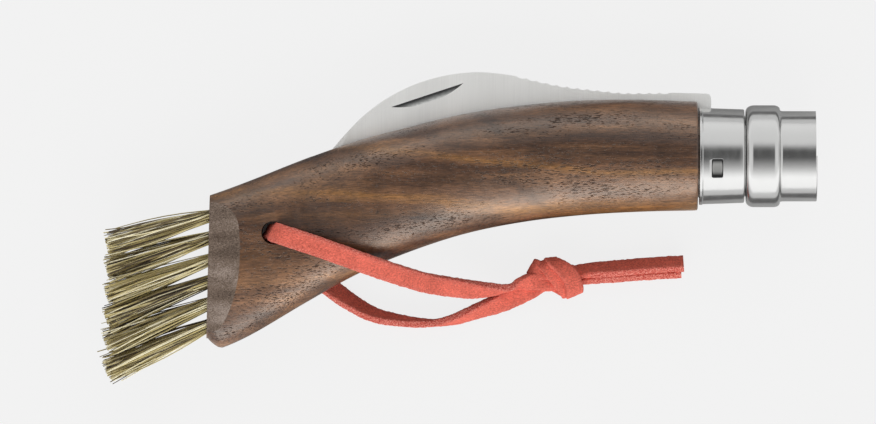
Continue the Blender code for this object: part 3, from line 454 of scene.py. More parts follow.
def walnut():
    """Oiled walnut: dark and light bands with golden streaks, short open pores and a satin sheen.

    The pattern is solid and runs along X with slow waves, so a cut across the grain shows the pores as
    dots. There the end_grain attribute turns the colour greyer, as sanded end grain looks. The dark streaks
    along the handle's middle are dark grain and painted shade, the lanyard hole's wall is painted dark as
    shade, and the figure's light and dark waves are partly a painted shimmer.
    """
    colours = bpy.context.scene.knife_colours
    made, surface, add = new_material("oiled_walnut", Coat_Roughness=0.3, Specular_IOR_Level=0.15)
    bend = add("TexNoise", Vector=millimetres(add, 0.022, 0.03, 0.03), Scale=1.0, Detail=1.0)
    wave = add("VectorMath", bend.outputs["Color"], (0.0, 2.0, 1.4), millimetres(add, 0.009, 0.22, 0.16),
               operation="MULTIPLY_ADD")
    growth = add("TexNoise", Vector=wave, Scale=1.0, Detail=4.0, Roughness=0.6)
    body = add("ValToRGB", growth, stops=[
        (0.32, colours.walnut_dark), (0.45, "4B3323"), (0.56, "624530"), (0.70, colours.walnut_light)])
    # The streaks' own place, moved up and down by the same slow waves
    shifted = add("VectorMath", bend.outputs["Color"], (0.0, STREAK_WAVE, 0.0), millimetres(add, 1.0, 1.0, 1.0),
                  operation="MULTIPLY_ADD")
    axes = add("SeparateXYZ", shifted)
    along = add("MapRange", axes.outputs["X"], From_Min=-STREAK_LENGTH, From_Max=0.0)
    fraying = add("TexNoise", Vector=millimetres(add, 0.03, 0.8, 0.8), Scale=1.0, Detail=4.0, Roughness=0.65)
    warmth = add("MapRange", growth.outputs["Color"], From_Min=0.50, From_Max=0.70, To_Max=0.25)
    streaked = add("Mix", warmth, at={6: body, 7: colours.walnut_gold}, data_type="RGBA")
    # The dark streaks paint shade along the handle's middle; the gold ones are the wood's own streaks
    for colour, streaks in ((colours.walnut_dark, SHADED_MIDDLE_STREAKS), (colours.walnut_gold, GOLD_STREAKS)):
        for line, half_width, strength in streaks:
            run = add("ValToRGB", along, stops=[
                ((x + STREAK_LENGTH) / STREAK_LENGTH,
                 grey((y + STREAK_WAVE / 2 + STREAK_HEIGHT) / (2 * STREAK_HEIGHT))) for x, y in line])
            middle = add("Math", run, 2 * STREAK_HEIGHT, -STREAK_HEIGHT, operation="MULTIPLY_ADD")
            apart = add("Math", axes.outputs["Y"], middle, operation="SUBTRACT")
            off = add("Math", apart, operation="ABSOLUTE")
            frayed = add("Math", fraying, 4.0 * half_width, off, operation="MULTIPLY_ADD")
            near = add("MapRange", frayed, From_Min=1.4 * half_width, From_Max=3.6 * half_width,
                       To_Min=strength, To_Max=0.0, interpolation_type="SMOOTHSTEP")
            streaked = add("Mix", near, at={6: streaked.outputs[2], 7: colour}, data_type="RGBA")
    fibres = add("TexNoise", Vector=millimetres(add, 0.55, 4.0, 4.0), Scale=1.0, Detail=3.0, Roughness=0.7)
    fibre_shade = add("MapRange", fibres, From_Min=0.34, From_Max=0.66, To_Min=0.52, To_Max=1.46)
    # Figure across the grain, in slanting waves about 8 mm apart: it tilts the surface so the sheen ripples, and
    # its light and dark waves in the colour are a painted shimmer on top of the figure's own tone
    slant = add("Mapping", Vector=millimetres(add, 0.15, 0.10, 0.10), Rotation=(0.0, 0.0, math.radians(35)))
    figure = add("TexNoise", Vector=slant, Scale=1.0, Detail=2.0)
    figure_painted_shimmer = add("MapRange", figure, From_Min=0.35, From_Max=0.65, To_Min=0.82, To_Max=1.18)
    both = add("Math", fibre_shade, figure_painted_shimmer, operation="MULTIPLY")
    toned = add("VectorMath", streaked.outputs[2], Scale=both, operation="SCALE")
    crowd = add("TexNoise", Vector=millimetres(add, 0.04, 0.25, 0.25), Scale=1.0, Detail=2.0)
    depths = []
    # Long pores about 2.5 mm apart along the grain and short ones about half of that
    for scale, least, most in (((0.40, 2.5, 2.5), 0.10, 0.32), ((0.85, 4.4, 4.4), 0.14, 0.34)):
        cells = add("TexVoronoi", Vector=millimetres(add, *scale), Scale=1.0)
        size = add("MapRange", crowd, From_Min=0.36, From_Max=0.62, To_Min=least, To_Max=most)
        near = add("Math", size, cells, operation="SUBTRACT")
        depths.append(add("MapRange", near, From_Max=0.10))
    pores = add("Math", *depths, operation="MAXIMUM")
    # The lanyard hole's wall is painted dark with the pores' colour, as painted shade deep in the hole, and is dull
    from_hole = add("VectorMath", millimetres(add, 1.0, 1.0, 0.0), (HOLE_X / MM, hole_place()[0] / MM, 0.0),
                    operation="DISTANCE")
    wall = add("MapRange", from_hole.outputs["Value"], From_Min=HOLE_RADIUS / MM + 0.05,
               From_Max=HOLE_RADIUS / MM + 0.15, To_Min=1.0, To_Max=0.0)
    pores_and_hole_shade = add("Math", pores, wall, operation="MAXIMUM")
    ends = add("Attribute", attribute_name="end_grain").outputs["Fac"]
    speck = add("TexNoise", Vector=millimetres(add, 2.0, 4.0, 4.0), Scale=1.0, Detail=4.0, Roughness=0.75)
    band = add("TexNoise", Vector=millimetres(add, 0.05, 0.22, 0.10), Scale=1.0, Detail=2.0)
    mottle = add("Math", band, 0.9, speck, operation="MULTIPLY_ADD")
    sanded = add("ValToRGB", add("Math", mottle, 1.9, operation="DIVIDE"),
                 stops=[(0.38, "463A32"), (0.50, "6D5F55"), (0.62, "958880")])
    whole = add("Mix", ends, at={6: toned, 7: sanded}, data_type="RGBA")
    soft = add("Math", ends, -0.45, 0.85, operation="MULTIPLY_ADD")
    shown = add("Math", pores_and_hole_shade, soft, operation="MULTIPLY")
    # The pores' own dark colour, which also paints shade on the lanyard hole's wall
    pored = add("Mix", shown, at={6: whole.outputs[2], 7: shade("22160F")}, data_type="RGBA")
    gloss = add("MapRange", fibres, To_Min=0.30, To_Max=0.50)
    rough = add("Math", ends, 0.3, gloss, operation="MULTIPLY_ADD")
    dull = add("Math", rough, wall, operation="MAXIMUM")
    # The oil's film lies on the wood between the pores, sinks into the cut ends and never reached the hole's wall
    bare = add("Math", ends, pores_and_hole_shade, operation="MAXIMUM")
    film = add("Math", bare, -0.85, 1.0, operation="MULTIPLY_ADD")
    oiled = add("Math", wall, -1.0, film, operation="MULTIPLY_ADD", use_clamp=True)
    height = add("Math", pores_and_hole_shade, -1.0, fibres, operation="MULTIPLY_ADD")
    bump = add("Bump", Height=height, Strength=0.6, Distance=0.07 * MM)
    tilt = add("Bump", Height=figure, Normal=bump, Strength=1.0, Distance=0.45 * MM)
    fill(surface, {"Base Color": pored.outputs[2], "Roughness": dull, "Coat Weight": oiled, "Normal": tilt,
                   "Coat Normal": tilt})
    return made


def brushed_steel():
    """Stainless blade steel, satin ground across the blade: grey, even, with very fine upright lines."""
    made, surface, add = new_material("satin_stainless_steel", Metallic=1.0)
    lines = add("TexNoise", Vector=millimetres(add, 7.0, 0.10, 0.3), Scale=1.0, Detail=2.0)
    broad = add("TexNoise", Vector=millimetres(add, 0.10, 0.05, 0.1), Scale=1.0, Detail=1.0)
    mixed = add("Math", broad, 1.5, lines, operation="MULTIPLY_ADD")
    tone = add("ValToRGB", add("Math", mixed, 2.5, operation="DIVIDE"), stops=[(0.35, "F3F3F1"), (0.65, "FCFCFA")])
    fill(surface, {
        "Base Color": tone,
        "Roughness": add("MapRange", lines, To_Min=0.60, To_Max=0.68),
        "Normal": add("Bump", Height=lines, Strength=0.12, Distance=0.02 * MM),
    })
    return made


def stamped_steel():
    """The blade's steel in the nail nick: painted dark in its deep side as painted shade, bright towards its shallow
    rim.

    The nick is cut into the side that faces +Z, so a point's Z tells how deep in it the point lies.
    """
    made, surface, add = new_material("nick_steel_painted_shade", Metallic=1.0)
    grit = add("TexNoise", Vector=millimetres(add, 1.5, 4.0, 2.0), Scale=1.0, Detail=3.0)
    place = add("SeparateXYZ", millimetres(add, 1.0, 1.0, 1.0))
    level = add("Math", grit, 0.12, place.outputs["Z"], operation="MULTIPLY_ADD")
    # Darker the deeper in the nick: painted shade
    tone = add("ValToRGB", level, stops=[(0.42, "363737"), (0.56, "606161"), (0.68, "A6A7A6"), (0.82, "F6F6F4")])
    fill(surface, {"Base Color": tone, "Roughness": add("MapRange", grit, To_Min=0.4, To_Max=0.6)})
    return made


def polished_steel():
    """Polished stainless tube: mirror bright, with faint turning lines, slight waves and smears."""
    made, surface, add = new_material("polished_stainless_steel", Metallic=1.0, Base_Color=shade("D4D4D3"))
    smear = add("TexNoise", Vector=millimetres(add, 0.5, 0.22, 0.22), Scale=1.0, Detail=3.0)
    lines = add("TexNoise", Vector=millimetres(add, 6.0, 0.1, 0.1), Scale=1.0, Detail=1.0)
    bump = add("Bump", Height=lines, Strength=0.12, Distance=0.01 * MM)
    fill(surface, {
        "Roughness": add("MapRange", smear, From_Min=0.3, From_Max=0.7, To_Min=0.13, To_Max=0.21),
        "Normal": add("Bump", Height=smear, Normal=bump, Strength=0.5, Distance=0.05 * MM),
    })
    return made


def boar_bristle():
    """Natural boar bristle: straw, olive and near-black hairs side by side, with a dull gloss."""
    made, surface, add = new_material("boar_bristle", Roughness=0.48)
    tone = add("ValToRGB", add("Attribute", attribute_name="hair_tone").outputs["Fac"], stops=[
        (0.0, "201812"), (0.20, "43372A"), (0.32, "7B6C49"), (0.55, "A89966"), (0.72, "D0C18B"), (0.87, "EADFB4"),
        (1.0, "F8F1D4")])
    along = add("TexNoise", Vector=millimetres(add, 0.35, 3.0, 3.0), Scale=1.0, Detail=1.0)
    level = add("MapRange", along, To_Min=0.8, To_Max=1.25)
    fill(surface, {"Base Color": add("VectorMath", tone, Scale=level, operation="SCALE")})
    return made


def suede():
    """Dyed suede: a matt coral nap of short fibres, dark between them, and fuzzy, paler cut edges."""
    made, surface, add = new_material(
        "dyed_suede", Roughness=0.95, Sheen_Weight=0.25, Sheen_Roughness=0.5, Sheen_Tint=shade("F29A8C"),
        Specular_IOR_Level=0.15)
    nap = add("TexNoise", Vector=millimetres(add, 2.4, 3.8, 3.8), Scale=1.0, Detail=3.0, Roughness=0.7)
    patch = add("TexNoise", Vector=millimetres(add, 0.35, 0.35, 0.35), Scale=1.0, Detail=2.0)
    mixed = add("Math", patch, 0.3, nap, operation="MULTIPLY_ADD")
    level = add("MapRange", mixed, From_Min=0.45, From_Max=0.85, To_Min=0.62, To_Max=1.42)
    face = add("VectorMath", bpy.context.scene.knife_colours.lace[:3], Scale=level, operation="SCALE")
    fluff = add("TexNoise", Vector=millimetres(add, 4.2, 4.2, 4.2), Scale=1.0, Detail=3.0, Roughness=0.6)
    cut_side = add("ValToRGB", fluff, stops=[(0.36, "A83A32"), (0.50, "DA6C5E"), (0.64, "F2A596")])
    edge = add("Attribute", attribute_name="cut_edge").outputs["Fac"]
    whole = add("Mix", edge, at={6: face, 7: cut_side}, data_type="RGBA")
    height = add("Math", fluff, 0.6, nap, operation="MULTIPLY_ADD")
    fill(surface, {
        "Base Color": whole.outputs[2],
        "Normal": add("Bump", Height=height, Strength=0.8, Distance=0.16 * MM),
    })
    return made


def bare_steel(name, shaded_wall_tone, floor):
    """Bare steel as drawn to wire or struck by a punch: dull and grey, in two tones by the distance from X.

    The crimp mark's floor lies nearer to the collar's axis than its walls do, and the walls are painted darker, as
    painted shade in the mark.
    """
    made, surface, add = new_material(name, Metallic=1.0)
    out = add("VectorMath", millimetres(add, 0.0, 1.0, 1.0), operation="LENGTH")
    share = add("MapRange", out.outputs["Value"], From_Min=9.11, From_Max=9.2)
    tone = add("Mix", share, at={6: shade(floor), 7: shade(shaded_wall_tone)}, data_type="RGBA")
    lines = add("TexNoise", Vector=millimetres(add, 4.0, 0.5, 0.5), Scale=1.0, Detail=1.0)
    fill(surface, {"Base Color": tone.outputs[2], "Roughness": add("MapRange", lines, To_Min=0.35, To_Max=0.5)})
    return made


def smooth_line(rows, steps):
    """Points on a smooth curve through the rows, with this many steps between each two."""
    first = [2 * a - b for a, b in zip(rows[0], rows[1])]
    last = [2 * a - b for a, b in zip(rows[-1], rows[-2])]
    padded = [first, *rows, last]
    line = []
    for before, start, end, after in zip(padded, padded[1:], padded[2:], padded[3:]):
        for step in range(steps):
            t = step / steps
            pulls = (-t ** 3 + 2 * t ** 2 - t, 3 * t ** 3 - 5 * t ** 2 + 2)
            pulls += (-3 * t ** 3 + 4 * t ** 2 + t, t ** 3 - t ** 2)
            columns = zip(before, start, end, after)
            line.append([sum(pull * value for pull, value in zip(pulls, column)) / 2 for column in columns])
    line.append(list(rows[-1]))
    return line


def at_key(rows, key):
    """The row at a key, read between rows that are sorted by their first value."""
    for low, high in zip(rows, rows[1:]):
        if key <= high[0]:
            break
    share = (key - low[0]) / (high[0] - low[0])
    return [a + share * (b - a) for a, b in zip(low, high)]


def blend(ends, share):
    return ends[0] + (ends[1] - ends[0]) * share


def evenly(points, count):
    """Points spaced evenly along a line of points."""
    lengths = [0.0]
    for a, b in zip(points, points[1:]):
        lengths.append(lengths[-1] + math.dist(a[:3], b[:3]))
    spaced = []
    place = 0
    for index in range(count):
        wanted = lengths[-1] * index / (count - 1)
        while place < len(points) - 2 and lengths[place + 1] < wanted:
            place += 1
        share = (wanted - lengths[place]) / (lengths[place + 1] - lengths[place])
        spaced.append([a + share * (b - a) for a, b in zip(points[place], points[place + 1])])
    return spaced


def quarter(steps):
    return [math.pi / 2 * step / steps for step in range(steps + 1)]


def only(piece):
    """Select one piece and make it the active one."""
    bpy.ops.object.select_all(action="DESELECT")
    piece.select_set(True)
    bpy.context.view_layer.objects.active = piece


def new_mesh(name, bm):
    """An object from a bmesh, with its faces pointing out."""
    bmesh.ops.recalc_face_normals(bm, faces=bm.faces)
    mesh = bpy.data.meshes.new(name)
    bm.to_mesh(mesh)
    bm.free()
    made = bpy.data.objects.new(name, mesh)
    bpy.context.scene.collection.objects.link(made)
    return made


def loft(bm, rings, closed=False):
    """Skin rings of equal size with quads. Without closed, the first and last ring are capped."""
    grid = [[bm.verts.new(point) for point in ring] for ring in rings]
    pairs = list(zip(grid, grid[1:]))
    if closed:
        pairs.append((grid[-1], grid[0]))
    for one, other in pairs:
        for a, b, c, d in zip(one, other, other[1:] + other[:1], one[1:] + one[:1]):
            bm.faces.new((a, b, c, d))
    if not closed:
        bm.faces.new(grid[0])
        bm.faces.new(grid[-1])
    return grid


def change(piece, kind, **settings):
    """Add a modifier to a piece and apply it."""
    only(piece)
    bpy.ops.object.modifier_add(type=kind)
    modifier = piece.modifiers[-1]
    for key, value in settings.items():
        setattr(modifier, key, value)
    bpy.ops.object.modifier_apply(modifier=modifier.name)


def soften(piece, width):
    """Round a piece's sharp edges."""
    change(piece, "BEVEL", width=width, segments=2, limit_method="ANGLE", angle_limit=math.radians(50))


def merge(piece, distance):
    """Merge a piece's doubled corners and point its faces out."""
    only(piece)
    bpy.ops.object.mode_set(mode="EDIT")
    bpy.ops.mesh.select_all(action="SELECT")
    bpy.ops.mesh.remove_doubles(threshold=distance)
    bpy.ops.mesh.normals_make_consistent(inside=False)
    bpy.ops.object.mode_set(mode="OBJECT")


def turn_and_move(cutter, turn, axis, middle):
    """Turn a cutter about an axis and move it."""
    cutter.data.transform(Matrix.Rotation(turn, 4, axis))
    cutter.data.transform(Matrix.Translation(middle))


def give_looks(piece, cutter, looks, struck):
    """Give a piece its looks, and what the cutter leaves in it those of struck metal, which paint shade into the
    mark.
    """
    for one in (piece, cutter):
        one.data.materials.append(looks)
        one.data.materials.append(struck)
    for face in cutter.data.polygons:
        face.material_index = 1


def dress_node(name, looks):
    """Give a solid of the frame its looks."""
    materials = frame["nodes"][name].data.materials
    materials.clear()
    materials.append(looks)


def cut(piece, *cutters, operation="DIFFERENCE"):
    """Cut a piece with others, which are then removed."""
    for cutter in cutters:
        change(piece, "BOOLEAN", operation=operation, solver="EXACT", object=cutter)
        bpy.data.objects.remove(cutter)


def spun(name, profile, steps=128):
    """Spin a closed profile of (place, radius) points round X."""
    bm = bmesh.new()
    corners = [bm.verts.new((x, radius, 0.0)) for x, radius in profile]
    for a, b in zip(corners, corners[1:] + corners[:1]):
        bm.edges.new((a, b))
    piece = new_mesh(name, bm)
    only(piece)
    bpy.ops.object.mode_set(mode="EDIT")
    bpy.ops.mesh.select_all(action="SELECT")
    bpy.ops.mesh.spin(steps=steps, angle=2 * math.pi, center=(0, 0, 0), axis=(1, 0, 0))
    bpy.ops.object.mode_set(mode="OBJECT")
    merge(piece, 0.002 * MM)
    return piece


def block(low, high):
    """A box between two corners."""
    middle = [(a + b) / 2 for a, b in zip(low, high)]
    bpy.ops.mesh.primitive_cube_add(size=1.0, location=middle)
    made = bpy.context.active_object
    made.scale = [b - a for a, b in zip(low, high)]
    bpy.ops.object.transform_apply(location=True, rotation=True, scale=True)
    return made


def drilled(radius, length, middle, sides=48):
    """A round cutter along Z."""
    bpy.ops.mesh.primitive_cylinder_add(vertices=sides, radius=radius, depth=length, location=middle)
    made = bpy.context.active_object
    bpy.ops.object.transform_apply(location=True, rotation=True, scale=True)
    return made


def hand_over(piece, looks, body, nodes=(), angle=None):
    """Move a piece to its place, dress it, and let it ride with its body."""
    piece.data.transform(Matrix.Translation(PIVOT))
    if angle is not None:
        only(piece)
        bpy.ops.object.shade_smooth_by_angle(angle=math.radians(angle))
    if not piece.data.materials:
        piece.data.materials.append(looks)
    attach(piece, body)
    if nodes:
        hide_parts(*nodes)
    return piece


# Handle

STATIONS = smooth_line(SECTION_SHARES, 24)


def handle_station(station):
    """Top, belly, side and the section's shape at a station of the handle."""
    row = at_key(STATIONS, station)
    top = HANDLE_RADIUS - TOP_FALL * row[1]
    belly = -HANDLE_RADIUS - BELLY_FALL * row[2]
    taper = min(1.0, max(0.0, (station - THINNING[0]) / THINNING[1]))
    side = blend((HANDLE_RADIUS, BUTT_SIDE), taper * taper * (3 - 2 * taper))
    return top, belly, side, blend(WIDEST_SHARES, station), blend(ROUNDNESS, station)


def butt_x(y):
    """Where the leaning butt face lies at a height."""
    top, belly = handle_station(1.0)[:2]
    return BUTT_X + (y - (top + belly) / 2) * math.tan(BUTT_LEAN)


def handle_point(x, turn):
    """A point of the wood's surface at a place along it and a turn round it, before the facets."""
    station = min(1.0, max(0.0, (-HANDLE_START - x) / HANDLE_LENGTH))
    top, belly, side, widest, power = handle_station(station)
    toe = 1 - min(1.0, max(0.0, (x - BUTT_X) / TOE_CUT))
    belly += TOE_CUT * (1 - max(0.0, 1 - toe ** TOE_POWER) ** (1 / TOE_POWER))
    middle = top + (belly - top) * widest
    sine, cosine = math.sin(turn), math.cos(turn)
    across = abs(cosine) ** (2 / power) * (1 if cosine > 0 else -1)
    up = abs(sine) ** (2 / power)
    end = top if sine > 0 else belly
    z = max(-SIDE_LIMIT, min(SIDE_LIMIT, side * across))
    return middle + (end - middle) * up, z


def facet_width(x, y):
    """Half of the wood's thickness that the two facets leave."""
    slope = (BUTT_SIDE - BUTT_HALF_THICKNESS) / FACET_LENGTH
    top, belly = handle_station(1.0)[:2]
    return BUTT_HALF_THICKNESS + (x - butt_x(y)) * slope + (y - (top + belly) / 2) * FACET_TILT


def crease(turn):
    """Where a facet starts on a line along the handle, or the butt where the line meets none."""
    def proud(x):
        y, z = handle_point(x, turn)
        return abs(z) - facet_width(x, y)

    low, high = butt_x(handle_point(BUTT_X, turn)[0]), BUTT_X + FACET_LENGTH + 1.0 * MM
    if proud(low) <= 0:
        return low
    for _ in range(30):
        middle = (low + high) / 2
        if proud(middle) > 0:
            low = middle
        else:
            high = middle
    return (low + high) / 2


def wood_rows(turn):
    """Points along the handle at one turn round it, from the shoulder to the butt."""
    start = -(HANDLE_START + SHOULDER_ROUND)
    line = []
    y, z = handle_point(start, turn)
    reach = math.hypot(y, z)
    for step in quarter(3)[:-1]:
        radius = reach - SHOULDER_ROUND * (1 - math.sin(step))
        line.append((-HANDLE_START - SHOULDER_ROUND * (1 - math.cos(step)), y * radius / reach, z * radius / reach))
    bend = crease(turn)
    for row in range(MAIN_ROWS):
        share = row / (MAIN_ROWS - 1)
        # The first 0.8 of the rows stand even, and the rest close up towards the crease
        eased = share * 1.06 if share < 0.8 else 0.848 + 0.152 * math.sin((share - 0.8) / 0.2 * math.pi / 2)
        x = blend((start, bend), min(1.0, eased))
        line.append((x, *handle_point(x, turn)))
    end = butt_x(handle_point(BUTT_X, turn)[0])
    for row in range(1, FACET_ROWS + 1):
        x = blend((bend, end), math.sin(math.pi / 2 * row / FACET_ROWS))
        y, z = handle_point(x, turn)
        limit = facet_width(x, y)
        line.append((x, y, max(-limit, min(limit, z))))
    return line


def make_handle(looks):
    """A straight rod with many rings is drawn to the bent, faceted shape, given its tenon, slotted and drilled."""
    rows = 3 + MAIN_ROWS + FACET_ROWS
    bpy.ops.object.select_all(action="DESELECT")
    bpy.ops.mesh.primitive_cylinder_add(
        vertices=COLUMNS, radius=1.0, depth=1.0, end_fill_type="NGON", rotation=(0, math.pi / 2, 0))
    handle = bpy.context.active_object
    handle.name = handle.data.name = "walnut_handle"
    bpy.ops.object.transform_apply(location=True, rotation=True, scale=True)
    bpy.ops.object.mode_set(mode="EDIT")
    for row in range(1, rows - 1):
        bpy.ops.mesh.select_all(action="SELECT")
        bpy.ops.mesh.bisect(plane_co=(0.5 - row / (rows - 1), 0, 0), plane_no=(1, 0, 0))
    bpy.ops.object.mode_set(mode="OBJECT")
    lines = {}
    for vertex in handle.data.vertices:
        column = round(math.atan2(vertex.co.y, vertex.co.z) / (2 * math.pi / COLUMNS) * 2)
        if column not in lines:
            lines[column] = wood_rows(math.pi / COLUMNS * column)
        vertex.co = lines[column][round((0.5 - vertex.co.x) * (rows - 1))]
    merge(handle, 0.01 * MM)
    inside = -(HANDLE_START + 1.0 * MM)
    thin, thick = TENON_RADII
    tenon = spun("tenon", [(TENON_FRONT, 0.0), (TENON_FRONT, thin), (TENON_STEP, thin), (TENON_STEP, thick),
                           (inside, thick), (inside, 0.0)], 96)
    cut(handle, tenon, operation="UNION")
    cut(handle, slot_cutter(), hole_cutter(), drilled(PIN_BORE, 2 * FAR, (0, 0, 0)), *bore_cutters())
    mark_end_grain(handle)
    return hand_over(handle, looks, "handle", ["handle"], 32)


def mark_end_grain(handle):
    """Mark the faces that cut across the grain."""
    mesh = handle.data
    marks = mesh.attributes.new("end_grain", "FLOAT", "FACE")
    for face in mesh.polygons:
        flat = face.normal.x < -0.9 or face.normal.x < -0.3 and abs(face.normal.z) > 0.8
        across = flat and face.center.x < BUTT_X + FACET_LENGTH + 1.0 * MM
        marks.data[face.index].value = 1.0 if across else 0.0


def slot_cutter():
    """The saw cut for the blade: through the tenon, then with a floor and a round end in the wood."""
    tip = math.hypot(BLADE_REACH, SPINE_SHARES[-1][1] * BLADE_RISE) + SWING_GAP
    floor = -(LOCK_DEPTH + SWING_GAP)
    high = BLADE_RISE + 6 * MM
    start, end = math.asin(floor / tip), math.asin(high / tip)
    outline = [(FAR, -FAR), (FAR, high)]
    for step in range(25):
        turn = blend((end, start), step / 24)
        outline.append((-tip * math.cos(turn), tip * math.sin(turn)))
    outline += [(-(HANDLE_START - SHOULDER_ROUND), floor), (-(HANDLE_START - SHOULDER_ROUND), -FAR)]
    bm = bmesh.new()
    loft(bm, [[(x, y, z) for x, y in outline] for z in (-SLOT_WIDTH / 2, SLOT_WIDTH / 2)])
    return new_mesh("slot_cutter", bm)


def hole_place():
    """Height of the lanyard hole's middle and the wood's half thickness there."""
    top, belly, side = handle_station(1 - HOLE_STATION / HANDLE_LENGTH)[:3]
    return blend((top, belly), HOLE_HEIGHT_SHARE), side


def hole_cutter():
    """The lanyard hole with a rounded rim at each mouth."""
    height, side = hole_place()
    end, wide = side + 6 * MM, HOLE_RADIUS + 6.7 * MM
    profile = [(-end, 0.0), (-end, wide)]
    for sign in (-1, 1):
        rim = [(sign * (side - HOLE_RIM * math.cos(turn)),
                HOLE_RADIUS + HOLE_RIM * (1 - math.cos(math.pi / 2 - turn))) for turn in quarter(4)]
        profile += rim if sign > 0 else rim[::-1]
    profile += [(end, wide), (end, 0.0)]
    cutter = spun("hole_cutter", profile, 64)
    turn_and_move(cutter, -math.pi / 2, "Y", (HOLE_X, height, 0.0))
    return cutter


def tuft_places():
    """Mouth and outward direction of each bristle bore, row by row from the top."""
    places = []
    top, belly = handle_station(1.0)[:2]
    ends = (top - ROW_MARGINS[0], belly + ROW_MARGINS[1])
    for row in range(TUFT_ROWS):
        turn = blend(ROW_ANGLES, row / (TUFT_ROWS - 1))
        y = blend(ends, row / (TUFT_ROWS - 1))
        for side in (-0.5, 0.5):
            mouth = Vector((butt_x(y), y, side * BUTT_HALF_THICKNESS))
            places.append((mouth, Vector((-math.cos(turn), -math.sin(turn), 0.0))))
    return places


def along_bore(mouth, direction):
    """Matrix that puts a piece modelled along +X into a bore, its zero at the bore's mouth."""
    across = Vector((0.0, 0.0, 1.0))
    other = across.cross(direction)
    return Matrix.Translation(mouth) @ Matrix((direction, other, across)).transposed().to_4x4()


def bore_cutters():
    cutters = []
    for mouth, direction in tuft_places():
        cutter = drilled(BORE_RADIUS, BORE_DEPTH + 6 * MM, (0, 0, 0), 32)
        turn_and_move(cutter, math.pi / 2, "Y", ((6 * MM - BORE_DEPTH) / 2, 0, 0))
        cutter.data.transform(along_bore(mouth, direction))
        cutters.append(cutter)
    return cutters


# Blade


def scalloped(spine, count):
    """The spine with its row of shallow scallops."""
    start = SHOULDER_REACH + SCALLOP_START
    pitch = SCALLOP_RUN / count
    line = [row for row in spine if not start < row[0] < start + count * pitch]
    for index in range(8 * count + 1):
        reach = start + pitch * index / 8
        line.append([reach, at_key(spine, reach)[1] - SCALLOP_DEPTH * abs(math.sin(math.pi * index / 8)) ** 0.8])
    return sorted(line)


def tang_outline(heel, spine_start):
    """Reach and rise of the tang, from the heel of the edge round the pivot to the spine's shoulder."""
    choil = SHOULDER_REACH + 1.7 * MM
    outline = [heel, (choil + 1.0 * MM, -(LOCK_DEPTH - 2.0 * MM)), (choil, -LOCK_DEPTH)]
    outline += [(choil - 4.9 * MM, -LOCK_DEPTH), (choil - 6.3 * MM, -TANG_RADIUS)]
    turns = [math.pi / 2 + math.pi * step / 32 for step in range(33)]
    outline += [(TANG_RADIUS * math.cos(turn), -TANG_RADIUS * math.sin(turn)) for turn in turns]
    outline.append((SHOULDER_REACH, TANG_RADIUS))
    for turn in quarter(6)[:-1]:
        across = 1.0 * MM * (1 - math.cos(turn))
        outline.append((SHOULDER_REACH + across, spine_start[1] - 1.0 * MM * (1 - math.sin(turn))))
    return outline


def make_blade(looks, stamped):
    """Two flat faces, ground bevels down to the edge, and a rim round the rest."""
    spine = [(a * BLADE_REACH, b * BLADE_RISE) for a, b in SPINE_SHARES]
    spine[0] = (SHOULDER_REACH + 1.0 * MM, spine[0][1])
    edge = [(a * BLADE_REACH, b * BLADE_RISE) for a, b in EDGE_SHARES]
    edge[0] = (SHOULDER_REACH + 3.9 * MM, edge[0][1])
    spine = smooth_line(spine, 8)
    edge = evenly(smooth_line(edge, 8), 90)
    grind = [[b + GRIND_SHARE * (f - b) for b, f in zip(back, front)]
             for back, front in zip(evenly(spine, len(edge)), edge)]
    rim = tang_outline(edge[0], spine[0]) + scalloped(spine, bpy.context.scene.knife_sizes.serrations)
    bm = bmesh.new()
    sides = []
    for sign in (1, -1):
        thick, thin = sign * BLADE_THICKNESS / 2, sign * EDGE_THICKNESS / 2
        rim_verts = [bm.verts.new((-u, v, thick)) for u, v in rim]
        grind_verts = [bm.verts.new((-u, v, thick)) for u, v in grind[:-1]] + [rim_verts[-1]]
        edge_verts = [bm.verts.new((-u, v, thin)) for u, v in edge]
        bm.faces.new(rim_verts + grind_verts[-2::-1])
        bm.faces.new((rim_verts[0], grind_verts[0], edge_verts[0]))
        for a, b, c, d in zip(grind_verts, grind_verts[1:], edge_verts[1:], edge_verts):
            bm.faces.new((a, b, c, d))
        sides.append((rim_verts, edge_verts))
    (rim_up, edge_up), (rim_down, edge_down) = sides
    for a, b, c, d in zip(edge_up, edge_up[1:], edge_down[1:], edge_down):
        bm.faces.new((a, b, c, d))
    last = len(rim) - 2
    for index in range(last + 1):
        corners = [rim_up[index], rim_up[index + 1], rim_down[index + 1], rim_down[index]]
        if index == 0:
            corners += [edge_down[0], edge_up[0]]
        if index == last:
            corners[2:2] = [edge_up[-1], edge_down[-1]]
        bm.faces.new(corners)
    blade = new_mesh("hooked_blade", bm)
    nick = nick_cutter()
    give_looks(blade, nick, looks, stamped)
    cut(blade, drilled(PIN_BORE, 10 * MM, (0, 0, 0)), nick)
    soften(blade, 0.07 * MM)
    return hand_over(blade, looks, "blade", ["blade"], 30)


def nick_cutter():
    """The nail nick: a crescent, deep along its straight side and shallow at its round one."""
    outline = [(-NICK_HALF_LENGTH, 0.0), (NICK_HALF_LENGTH, 0.0)]
    for step in range(1, 32):
        share = 1 - 2 * step / 32
        outline.append((NICK_HALF_LENGTH * share, -NICK_WIDTH * (1 - share * share)))
    face = BLADE_THICKNESS / 2
    floor = [(x, y, face - NICK_DEPTH - 0.4 * MM / NICK_WIDTH * y) for x, y in outline]
    lid = [(x, y, face + NICK_DEPTH) for x, y in outline]
    bm = bmesh.new()
    loft(bm, [floor, lid])
    cutter = new_mesh("nick_cutter", bm)
    turn_and_move(cutter, NICK_TURN, "Z", (-NICK_SHARES[0] * BLADE_REACH, NICK_SHARES[1] * BLADE_RISE, 0.0))
    return cutter


# Collar


